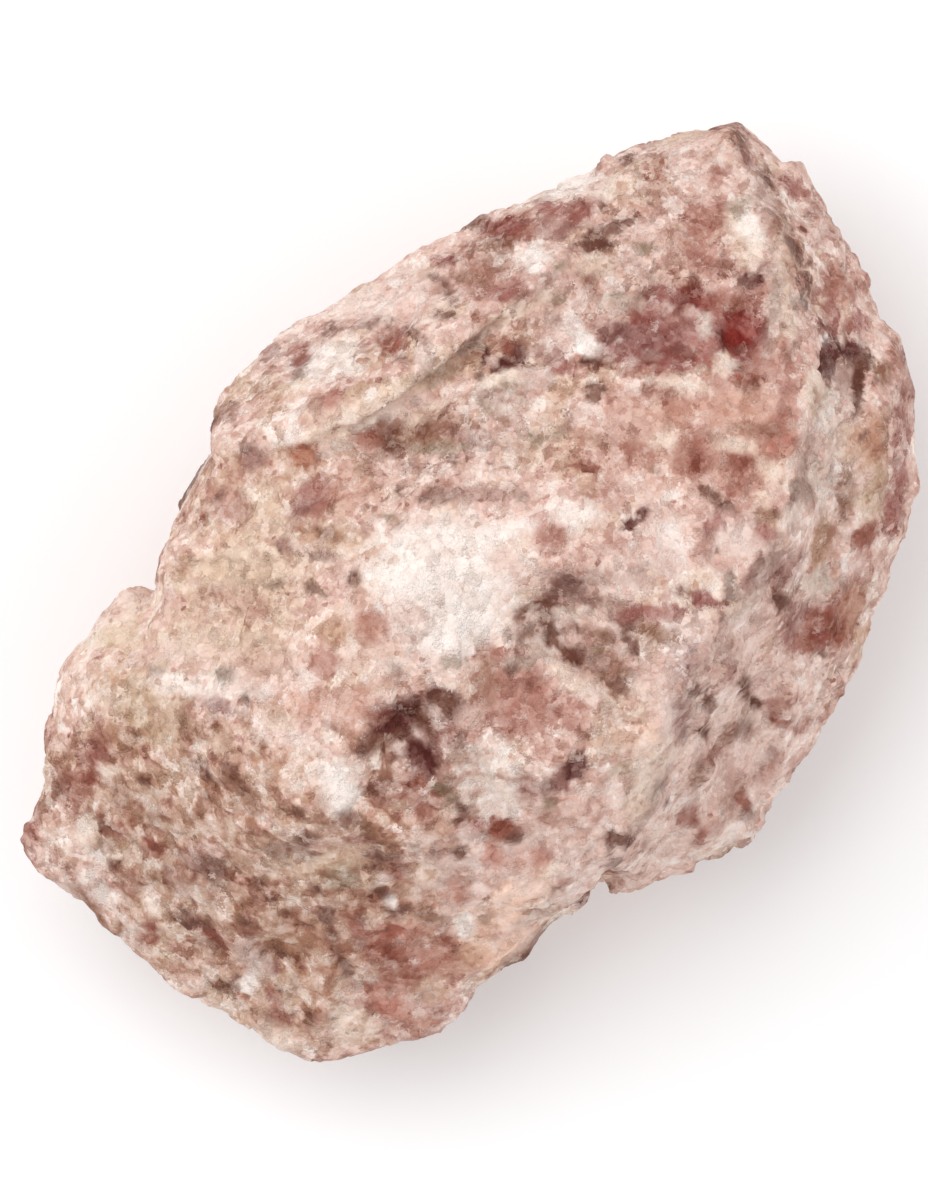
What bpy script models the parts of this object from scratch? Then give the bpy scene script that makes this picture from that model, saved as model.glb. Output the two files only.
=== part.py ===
"""A rough hand specimen of pink aventurine: one broken lump of granular quartz, lying on a flat break.

The lump is shaped the way it broke. Convex blocks, each bounded by fracture faces, overlap to make the
mass and are fused into one skin. The skin is then worn in: broad swells, chipped facets, ledges, hollows
and, down one flank, the ridges of the rock's layering. X runs along the stone, Y across it and Z up, and
the origin is on the floor under its middle.
"""

import bmesh
import bpy
from mathutils import Vector, noise

# Overall size of the stone as it lies, in metres.
LENGTH = 0.070
WIDTH = 0.0466
HEIGHT = 0.0358

# Everything below is in millimetres.
MM = 0.001

# Corners of each block. The outline of the stone, seen from above, is where they reach furthest.
BLOCKS = {
    "core": [
        # the ridge between the broad upper face and the flank, from the far tip to the near end
        (33.4, 11.2, 21.0), (30.9, 4.2, 25.5), (25.0, -5.3, 30.0), (17.9, -10.6, 32.6),
        (8.1, -13.0, 34.0), (2.1, -15.2, 32.0), (-5.0, -18.6, 25.8),
        # the upper face and the shoulder
        (6.5, -3.5, 35.2), (-1.0, 2.8, 35.4), (-7.5, 3.0, 34.0), (-16.7, 1.8, 31.0),
        (-17.2, -3.2, 30.8), (-20.2, 9.4, 26.5), (-13.4, 14.6, 25.5), (-5.0, 17.5, 26.0),
        (4.0, 18.5, 24.5), (20.0, 15.5, 24.0),
        # the outline at half height
        (34.5, 11.2, 17.0), (35.2, 5.6, 17.5), (33.0, -2.0, 18.5), (31.0, -7.0, 19.5),
        (27.0, -13.0, 19.5), (22.0, -16.2, 19.0), (14.0, -20.2, 17.0), (4.0, -23.0, 14.5),
        (-4.0, -22.2, 13.0), (-10.3, 17.2, 17.0), (-13.6, 15.2, 17.0), (2.0, 20.0, 15.0),
        (22.6, 16.9, 17.0), (26.6, 14.8, 17.0), (30.8, 13.5, 17.0),
        # the underside
        (31.5, 9.5, 8.0), (33.0, 1.0, 9.0), (29.0, -9.0, 10.0), (19.0, -16.5, 8.0), (5.0, -21.0, 6.0),
        (-12.0, 13.5, 7.0), (4.0, 18.0, 6.0), (19.0, 15.5, 9.0), (-23.0, 5.0, -2.0),
        (-20.0, -12.0, -2.0), (-6.0, -16.5, -2.0), (9.0, -17.5, -2.0), (19.0, -12.5, -2.0),
        (27.0, -4.0, -2.0), (28.0, 4.0, -2.0), (15.0, 13.0, -2.0), (2.0, 14.0, -2.0),
        (-12.0, 11.0, -2.0),
    ],
    "foot": [
        # the ridge above the near break
        (-22.8, 13.6, 19.5), (-21.7, 12.6, 22.5), (-20.2, 9.4, 26.5), (-17.4, 6.0, 30.0),
        (-16.7, 1.8, 31.2), (-17.2, -3.2, 31.0), (-15.9, -5.4, 30.8), (-10.5, -11.5, 29.0),
        (-5.0, -18.6, 25.6), (-12.8, -17.0, 22.5),
        # the outline at half height
        (-8.0, -20.9, 16.0), (-11.0, -20.7, 15.0), (-18.0, -19.8, 14.5), (-22.0, -19.9, 13.5),
        (-28.8, -16.8, 12.0), (-31.4, -11.2, 12.5), (-32.8, -7.4, 13.0), (-33.2, -1.5, 13.5),
        (-32.6, 5.0, 14.5), (-28.6, 9.6, 18.0), (-25.6, 12.0, 17.5), (-22.8, 13.9, 18.0),
        (-17.0, 15.2, 18.0), (-15.0, 13.6, 18.0),
        # the underside
        (-31.0, -4.5, 6.0), (-28.0, -14.0, 6.0), (-18.0, -18.5, 7.0), (-25.5, 10.5, 7.0),
        (-12.0, 10.0, 0.0), (-27.0, 6.0, -2.0), (-28.5, -7.0, -2.0), (-17.0, -15.5, -2.0),
        (-5.0, -18.5, 6.0), (-5.0, -17.0, -1.0),
    ],
    "nose": [
        (-33.5, 7.3, 13.5), (-33.2, 2.5, 13.5), (-29.4, 8.8, 17.4), (-30.4, 3.0, 17.0),
        (-28.0, 7.0, 8.0), (-29.5, 1.0, 8.0),
    ],
    "flank": [
        # the crest of the layered slab
        (35.0, 7.4, 19.0), (32.2, -1.9, 21.8), (28.6, -8.0, 24.2), (20.2, -15.0, 24.8),
        (11.3, -19.4, 22.4), (1.0, -22.4, 18.6),
        # the outline at half height
        (35.9, 6.8, 17.5), (35.4, 3.6, 18.0), (33.3, -3.5, 18.5), (32.4, -6.8, 19.0),
        (30.7, -10.1, 19.5), (27.2, -15.3, 19.0), (22.6, -17.3, 18.0), (15.6, -21.5, 16.5),
        (9.0, -23.4, 15.5), (2.4, -25.1, 14.0), (-1.8, -23.4, 13.0), (-7.0, -21.6, 12.0),
        # the underside
        (31.5, -5.0, 9.0), (24.0, -15.0, 10.0), (9.0, -21.5, 8.0), (-2.0, -21.0, 7.0), (24.0, 2.0, 2.0),
        (22.0, -8.0, 0.0), (8.0, -15.0, -1.0), (-4.0, -14.0, 1.0),
    ],
    "shoulder": [
        # its rim, where it stands above the upper face, and the top of the slope beyond the rim
        (-6.3, 17.6, 26.4), (-1.8, 14.8, 29.2), (4.2, 12.1, 30.7), (8.4, 12.0, 30.4),
        (12.5, 12.0, 29.6), (19.0, 11.6, 27.0), (0.5, 15.8, 29.0), (6.0, 14.4, 30.0),
        (12.0, 14.0, 28.8),
        # the outline and the underside
        (22.6, 16.8, 19.0), (10.7, 18.4, 20.0), (1.4, 21.4, 19.0), (-4.0, 20.5, 19.0),
        (0.0, 15.0, 6.0), (14.0, 13.0, 6.0),
    ],
}

# Steps where one sheet of rock broke off short of the next: where the step starts and ends, seen from
# above, how high it is, and how far behind it the raised sheet takes to level out. The sheet is to the
# left of the way from start to end.
LEDGES = {
    "under the shoulder": ((-14.0, 14.6), (-4.0, 7.5), 0.9, 7.0),
    "across the near ridge": ((-12.0, 6.5), (-3.0, 5.5), 0.6, 5.0),
    "splinter on the crown": ((2.5, 6.9), (8.5, 3.5), 0.7, 3.5),
}
LEDGE_WANDER = 0.5

# Bowls where a nest of grains fell out: the middle, the radius, and the depth.
HOLLOWS = {
    "crystal nest": ((-9.0, -4.2, 33.0), 3.4, 1.3),
    "curled scoop": ((3.6, -5.6, 35.0), 4.4, 0.8),
    "flank notch": ((28.3, -5.8, 27.0), 2.2, 2.9),
    "red pocket": ((24.5, 0.5, 29.0), 3.0, 1.1),
}

# Broad swells: how wide they are, and how high.
SWELL_WIDTH = 13.0
SWELL_HEIGHT = 0.9

# Chipped facets, large and small: how wide each is, and how steeply it tilts.
CHIPS = {"large": (9.0, 0.09), "small": (4.0, 0.10)}
CHIP_EASE = 2.2

# The layered flank: how far apart its sheets are, how far each runs, how high its ridge stands, and
# which way the sheets face.
SHEET_SPACING = 2.2
SHEET_RUN = 18.0
SHEET_RIDGE = 0.7
SHEET_FACING = Vector((0.6, -0.75, 0.28))

# The skin is remade at this spacing, then thinned to about this many triangles.
SKIN_SPACING = 0.35
TRIANGLES = 8000

ROSE = (0.578, 0.392, 0.323, 1.0)
ROUGHNESS = 0.6


def clear_scene():
    for obj in list(bpy.data.objects):
        bpy.data.objects.remove(obj)


def add_block(mesh, corners):
    """Adds one convex block with these corners to the mesh."""
    points = [mesh.verts.new(Vector(corner) * MM) for corner in corners]
    hull = bmesh.ops.convex_hull(mesh, input=points)
    spare = [v for v in hull["geom_interior"] if isinstance(v, bmesh.types.BMVert)]
    bmesh.ops.delete(mesh, geom=spare, context="VERTS")


def overlapping_blocks():
    mesh = bmesh.new()
    for corners in BLOCKS.values():
        add_block(mesh, corners)
    bmesh.ops.recalc_face_normals(mesh, faces=mesh.faces)
    data = bpy.data.meshes.new("aventurine")
    mesh.to_mesh(data)
    mesh.free()
    stone = bpy.data.objects.new("aventurine", data)
    bpy.context.collection.objects.link(stone)
    return stone


def apply_modifiers(obj):
    graph = bpy.context.evaluated_depsgraph_get()
    shaped = bpy.data.meshes.new_from_object(obj.evaluated_get(graph))
    obj.modifiers.clear()
    obj.data = shaped


def fuse(stone):
    """Makes one skin around all the blocks."""
    skin = stone.modifiers.new("skin", "REMESH")
    skin.mode = "VOXEL"
    skin.voxel_size = SKIN_SPACING * MM
    apply_modifiers(stone)


def chip(place, width, tilt):
    """Height of the tilted facet that this place falls on, eased into the next one where the two meet."""
    reach, middles = noise.voronoi(place / width)
    heights = []
    for middle in middles[:2]:
        lean = 2 * noise.cell_vector(middle * 7.3) - Vector((1, 1, 1))
        heights.append(tilt * (place - middle * width).dot(lean))
    share = min(1, 0.5 + (reach[1] - reach[0]) * CHIP_EASE)
    return share * heights[0] + (1 - share) * heights[1]


def layering(place):
    """Ridges where the rock's sheets, which stand nearly upright, come to the surface."""
    depth = place.dot(SHEET_FACING)
    stretched = place / SHEET_RUN + SHEET_FACING * depth * (1 / SHEET_SPACING - 1 / SHEET_RUN)
    return SHEET_RIDGE * (abs(noise.noise(stretched)) - 0.3)


def flank_share(normal):
    """How far a spot belongs to the layered flank, from the way it faces: 0 to 1."""
    return min(1, max(0, 2.5 * (0.55 * normal.x - 0.85 * normal.y) - 0.6))


def hollow(place):
    depth = 0.0
    for middle, radius, deepest in HOLLOWS.values():
        near = (place - Vector(middle)).length / radius
        if near < 1:
            depth -= deepest * (1 - near * near) ** 2
    return depth


def ledge(place):
    height = 0.0
    for start, end, step, levels_out in LEDGES.values():
        edge = Vector(end) - Vector(start)
        run = edge.normalized()
        flat = place.xy - Vector(start)
        behind = flat.dot(Vector((-run.y, run.x))) + LEDGE_WANDER * noise.noise(place / 2)
        along = flat.dot(run) / edge.length
        if 0 < behind < levels_out and 0 < along < 1:
            height += step * (1 - behind / levels_out) * min(1, 5 * along, 5 * (1 - along))
    return height


def relief(place, normal):
    """How far the worn skin stands out from the fused blocks, in millimetres."""
    rise = SWELL_HEIGHT * noise.noise(place / SWELL_WIDTH)
    rise += sum(chip(place, width, tilt) for width, tilt in CHIPS.values())
    rise += layering(place) * flank_share(normal)
    if normal.z > 0.2:
        rise += hollow(place) + ledge(place)
    return rise


def wear(stone):
    """Moves every point of the skin along its normal by the relief there."""
    mesh = bmesh.new()
    mesh.from_mesh(stone.data)
    mesh.normal_update()
    for point in mesh.verts:
        point.co += point.normal * relief(point.co / MM, point.normal) * MM
    mesh.to_mesh(stone.data)
    mesh.free()


def thin_out(stone):
    fewer = stone.modifiers.new("fewer faces", "DECIMATE")
    fewer.ratio = TRIANGLES / (2 * len(stone.data.polygons))
    apply_modifiers(stone)


def flatten_base(stone):
    """Cuts the stone off level at the floor, which leaves the flat break that it lies on."""
    mesh = bmesh.new()
    mesh.from_mesh(stone.data)
    cut = bmesh.ops.bisect_plane(
        mesh, geom=mesh.verts[:] + mesh.edges[:] + mesh.faces[:], dist=0.02 * MM,
        plane_co=(0, 0, 0), plane_no=(0, 0, -1), clear_outer=True,
    )
    rim = [e for e in cut["geom_cut"] if isinstance(e, bmesh.types.BMEdge)]
    for point in {v for e in rim for v in e.verts}:
        point.co.z = 0
    bmesh.ops.holes_fill(mesh, edges=rim)
    bmesh.ops.triangulate(mesh, faces=mesh.faces)
    mesh.to_mesh(stone.data)
    mesh.free()


def fit_to_size(stone):
    """Brings the stone to its overall size, with the origin on the floor under its middle."""
    corners = [Vector(corner) for corner in stone.bound_box]
    low = Vector(min(c[axis] for c in corners) for axis in range(3))
    high = Vector(max(c[axis] for c in corners) for axis in range(3))
    middle = Vector(((low.x + high.x) / 2, (low.y + high.y) / 2, low.z))
    stretch = [size / span for size, span in zip((LENGTH, WIDTH, HEIGHT), high - low)]
    for point in stone.data.vertices:
        point.co = [(at - centre) * factor for at, centre, factor in zip(point.co, middle, stretch)]


def quartz():
    material = bpy.data.materials.new("aventurine quartz")
    material.use_nodes = True
    shader = material.node_tree.nodes["Principled BSDF"]
    shader.inputs["Base Color"].default_value = ROSE
    shader.inputs["Roughness"].default_value = ROUGHNESS
    shader.inputs["Metallic"].default_value = 0.0
    return material


clear_scene()
aventurine = overlapping_blocks()
fuse(aventurine)
wear(aventurine)
thin_out(aventurine)
flatten_base(aventurine)
fit_to_size(aventurine)
aventurine.data.materials.append(quartz())
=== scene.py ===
# Rough pink aventurine on a pale sweep, seen from above.
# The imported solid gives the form. A finer skin stands in for it, with the grains in relief.
import math
import random

import bmesh
import bpy
import numpy as np
from mathutils import Matrix, Vector
from mathutils.bvhtree import BVHTree
from mathutils.noise import voronoi


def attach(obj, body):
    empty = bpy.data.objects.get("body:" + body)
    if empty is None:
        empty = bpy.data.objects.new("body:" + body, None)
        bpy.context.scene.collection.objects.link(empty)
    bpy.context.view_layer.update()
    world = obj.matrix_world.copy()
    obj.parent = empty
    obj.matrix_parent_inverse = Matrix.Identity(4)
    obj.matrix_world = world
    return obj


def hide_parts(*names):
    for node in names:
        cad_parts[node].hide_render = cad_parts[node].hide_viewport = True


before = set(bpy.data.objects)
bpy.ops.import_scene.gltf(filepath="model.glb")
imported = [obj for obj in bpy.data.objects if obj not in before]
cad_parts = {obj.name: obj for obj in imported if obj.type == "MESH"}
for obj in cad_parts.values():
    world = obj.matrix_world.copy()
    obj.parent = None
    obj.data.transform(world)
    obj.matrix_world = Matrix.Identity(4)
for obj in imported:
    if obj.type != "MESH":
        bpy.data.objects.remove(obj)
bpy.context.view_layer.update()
mm = 0.001
tiny = 1e-6                        # too small to matter, as a length in m or as a share


def srgb(red, green, blue):
    # screen values 0 to 255 to the linear colour that shaders take
    parts = [c / 255 for c in (red, green, blue)]
    return tuple(c / 12.92 if c < 0.04045 else ((c + 0.055) / 1.055) ** 2.4 for c in parts) + (1.0,)


# camera and light

studio = {
    "lens": 262,                   # mm
    "cameraHeight": 0.60,          # above the floor
    "cameraOver": (-1.5, 1.8),     # where it looks straight down, in mm
    "pictureWidth": 928,           # px
    "pictureHeight": 1200,
    "cameraTurn": -42,             # degrees: the stone lies across the picture, tip up and to the right
    "nearest": 0.01,               # what is closer to the camera isn't shown
    "keyDirection": (-0.12, 0.42, 0.88),
    "keyDistance": 0.55,
    "keySize": 0.40,
    "keyWatts": 1.35,
    "fillDirection": (0.75, -0.45, 0.50),
    "fillDistance": 0.60,
    "fillSize": 0.60,
    "fillWatts": 0.5,
    "skyColour": (0.99, 1.0, 1.025, 1),
    "skyStrength": 0.81,
    "floorSize": 3.0,
    "floorColour": srgb(250, 249, 248),
    "floorRoughness": 0.9,
}


def areaLight(name):
    lamp = bpy.data.lights.new(name, "AREA")
    lamp.energy = studio[name + "Watts"]
    lamp.size = studio[name + "Size"]
    light = bpy.data.objects.new(name, lamp)
    away = Vector(studio[name + "Direction"]).normalized()
    light.location = away * studio[name + "Distance"]
    light.rotation_euler = away.to_track_quat("Z", "Y").to_euler()
    bpy.context.scene.collection.objects.link(light)


def makeStudio():
    camera = bpy.data.objects.new("camera", bpy.data.cameras.new("camera"))
    camera.data.lens = studio["lens"]
    camera.data.clip_start = studio["nearest"]
    camera.location = [c * mm for c in studio["cameraOver"]] + [studio["cameraHeight"]]
    camera.rotation_euler = (0, 0, math.radians(studio["cameraTurn"]))
    bpy.context.scene.collection.objects.link(camera)
    bpy.context.scene.camera = camera

    areaLight("key")
    areaLight("fill")
    world = bpy.data.worlds.new("studio")
    bpy.context.scene.world = world
    world.use_nodes = True
    sky = world.node_tree.nodes["Background"]
    sky.inputs["Color"].default_value = studio["skyColour"]
    sky.inputs["Strength"].default_value = studio["skyStrength"]
    bpy.context.scene.view_settings.view_transform = "Standard"

    sheet = bmesh.new()
    bmesh.ops.create_grid(sheet, x_segments=1, y_segments=1, size=studio["floorSize"] / 2)
    data = bpy.data.meshes.new("floor")
    sheet.to_mesh(data)
    sheet.free()
    floor = bpy.data.objects.new("floor", data)
    bpy.context.scene.collection.objects.link(floor)
    paper = bpy.data.materials.new("pale paper")
    paper.use_nodes = True
    shader = paper.node_tree.nodes["Principled BSDF"]
    shader.inputs["Base Color"].default_value = studio["floorColour"]
    shader.inputs["Roughness"].default_value = studio["floorRoughness"]
    data.materials.append(paper)


makeStudio()
print("studio ready")


# Node helpers. They build the same nodes in a material and in a geometry tree.

halfway = (0.5, 0.5, 0.5)          # the middle of what a noise colour or a random colour holds


def node(tree, kind, **settings):
    new = tree.nodes.new(kind)
    for name, value in settings.items():
        setattr(new, name, value)
    return new


def plug(tree, socket, value):
    if isinstance(value, bpy.types.NodeSocket):
        tree.links.new(value, socket)
    else:
        socket.default_value = value


def maths(tree, operation, first, second=0.0, third=0.0, clamp=False):
    new = node(tree, "ShaderNodeMath", operation=operation, use_clamp=clamp)
    for socket, value in zip(new.inputs, (first, second, third)):
        plug(tree, socket, value)
    return new.outputs[0]


def total(tree, terms):
    # the sum of (value, weight) pairs
    result = 0.0
    for value, weight in terms:
        result = maths(tree, "MULTIPLY_ADD", value, weight, result)
    return result


def vectors(tree, operation, first, second=None, scale=None):
    new = node(tree, "ShaderNodeVectorMath", operation=operation)
    plug(tree, new.inputs[0], first)
    if second is not None:
        plug(tree, new.inputs[1], second)
    if scale is not None:
        plug(tree, new.inputs["Scale"], scale)
    return new.outputs["Value"] if operation in ("DOT_PRODUCT", "LENGTH") else new.outputs["Vector"]


def axes(tree, vector):
    new = node(tree, "ShaderNodeSeparateXYZ")
    plug(tree, new.inputs[0], vector)
    return new.outputs


def spread(tree, value, low, high, toLow=0.0, toHigh=1.0):
    new = node(tree, "ShaderNodeMapRange", interpolation_type="SMOOTHSTEP")
    plug(tree, new.inputs["Value"], value)
    plug(tree, new.inputs["From Min"], low)
    plug(tree, new.inputs["From Max"], high)
    plug(tree, new.inputs["To Min"], toLow)
    plug(tree, new.inputs["To Max"], toHigh)
    return new.outputs["Result"]


def noise(tree, place, width, detail=2.0, rough=0.5):
    # width is the size of a blotch, in the units of place
    new = node(tree, "ShaderNodeTexNoise", noise_dimensions="3D")
    plug(tree, new.inputs["Vector"], place)
    new.inputs["Scale"].default_value = 1 / width
    new.inputs["Detail"].default_value = detail
    new.inputs["Roughness"].default_value = rough
    return new.outputs[0]


def wander(tree, place, width, reach, detail=3.0):
    # place, pushed about by noise
    new = node(tree, "ShaderNodeTexNoise", noise_dimensions="3D")
    plug(tree, new.inputs["Vector"], place)
    new.inputs["Scale"].default_value = 1 / width
    new.inputs["Detail"].default_value = detail
    push = vectors(tree, "SUBTRACT", new.outputs["Color"], halfway)
    return vectors(tree, "ADD", place, vectors(tree, "SCALE", push, scale=reach))


def cells(tree, place, width):
    # grains: what each holds at random, where a point is from its middle, and how far from its border
    grain = node(tree, "ShaderNodeTexVoronoi", voronoi_dimensions="3D", feature="F1")
    border = node(tree, "ShaderNodeTexVoronoi", voronoi_dimensions="3D", feature="DISTANCE_TO_EDGE")
    for new in (grain, border):
        plug(tree, new.inputs["Vector"], place)
        new.inputs["Scale"].default_value = 1 / width
    return {
        "random": grain.outputs["Color"],
        "from": vectors(tree, "SUBTRACT", place, grain.outputs["Position"]),
        "edge": border.outputs["Distance"],
    }


def mixed(tree, share, first, second):
    new = node(tree, "ShaderNodeMix", data_type="RGBA")
    plug(tree, new.inputs["Factor"], share)
    plug(tree, new.inputs[6], first)
    plug(tree, new.inputs[7], second)
    return new.outputs[2]


def ramp(tree, value, stops):
    new = node(tree, "ShaderNodeValToRGB")
    band = new.color_ramp
    while len(band.elements) < len(stops):
        band.elements.new(0.5)
    for element, (at, colour) in zip(band.elements, stops):
        element.position = at
        element.color = colour
    plug(tree, new.inputs["Fac"], value)
    return new.outputs["Color"]


# The grains, in one set for the relief of the skin and for its colour. Lengths in mm.

rock = {
    "wanderWidth": 1.5,
    "wanderReach": 1.0,            # keeps grain borders from being straight
    "bigGrain": 2.5,
    "smallGrain": 1.1,
    "sheetFacing": (0.6, -0.75, 0.28),
    "sheetSpacing": 1.0,           # thin beds on the flank
    "sheetRun": 9.0,
}


def rockPlace(tree, position):
    return vectors(tree, "SCALE", position, scale=1 / mm)


def sheets(tree, place):
    # noise that is squeezed across the beds, so that its blotches run along them
    facing = tuple(Vector(rock["sheetFacing"]).normalized())
    depth = vectors(tree, "DOT_PRODUCT", place, facing)
    squeeze = maths(tree, "MULTIPLY", depth, 1 / rock["sheetSpacing"] - 1 / rock["sheetRun"])
    along = vectors(tree, "SCALE", place, scale=1 / rock["sheetRun"])
    squeezed = vectors(tree, "ADD", along, vectors(tree, "SCALE", facing, scale=squeeze))
    return noise(tree, squeezed, 1.0, detail=3.0)


# The tints of the stone's grains and stains, and a pale peach that is painted light.

tints = {
    "white": srgb(250, 236, 226),
    "cream": srgb(238, 214, 196),
    # the next tint, a pale peach, is painted light: it is laid where the skin turns away from the key, to
    # lift its shade
    "peach": srgb(248, 208, 186),
    "creamYellow": srgb(228, 200, 174),
    "palePink": srgb(230, 198, 185),
    "paleGrey": srgb(212, 190, 176),
    "greyPink": srgb(186, 152, 140),
    "grey": srgb(160, 138, 126),
    "lavender": srgb(178, 146, 140),
    "salmon": srgb(204, 156, 138),
    "rose": srgb(180, 128, 114),
    "coral": srgb(194, 124, 106),
    "mauve": srgb(158, 116, 106),
    "mauveRed": srgb(158, 100, 90),
    "tan": srgb(190, 148, 122),
    "sand": srgb(200, 170, 144),
    "rust": srgb(150, 84, 58),
    "orange": srgb(172, 112, 84),
    "brown": srgb(150, 108, 88),
    "olive": srgb(150, 126, 104),
    "umber": srgb(114, 73, 59),
    "redBrown": srgb(150, 90, 74),
    "red": srgb(130, 62, 54),
    "wine": srgb(136, 78, 70),
    "brightRed": srgb(132, 44, 36),
    "maroon": srgb(94, 46, 40),
}

# Marks that the stone carries, in the order they are laid: later ones lie over earlier ones. Not all are
# the stone's own colour: some pale marks are painted light over creases and faces in shade, some dark ones
# are painted shade under a rim or in a hollow, and a few pale specks are painted glints, as noted at their
# rows.
# Each is a tint, its place in the camera's picture in px from the left and from the top, its half
# length and half width in px, its direction in degrees anticlockwise from the right, and its strength.

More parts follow.
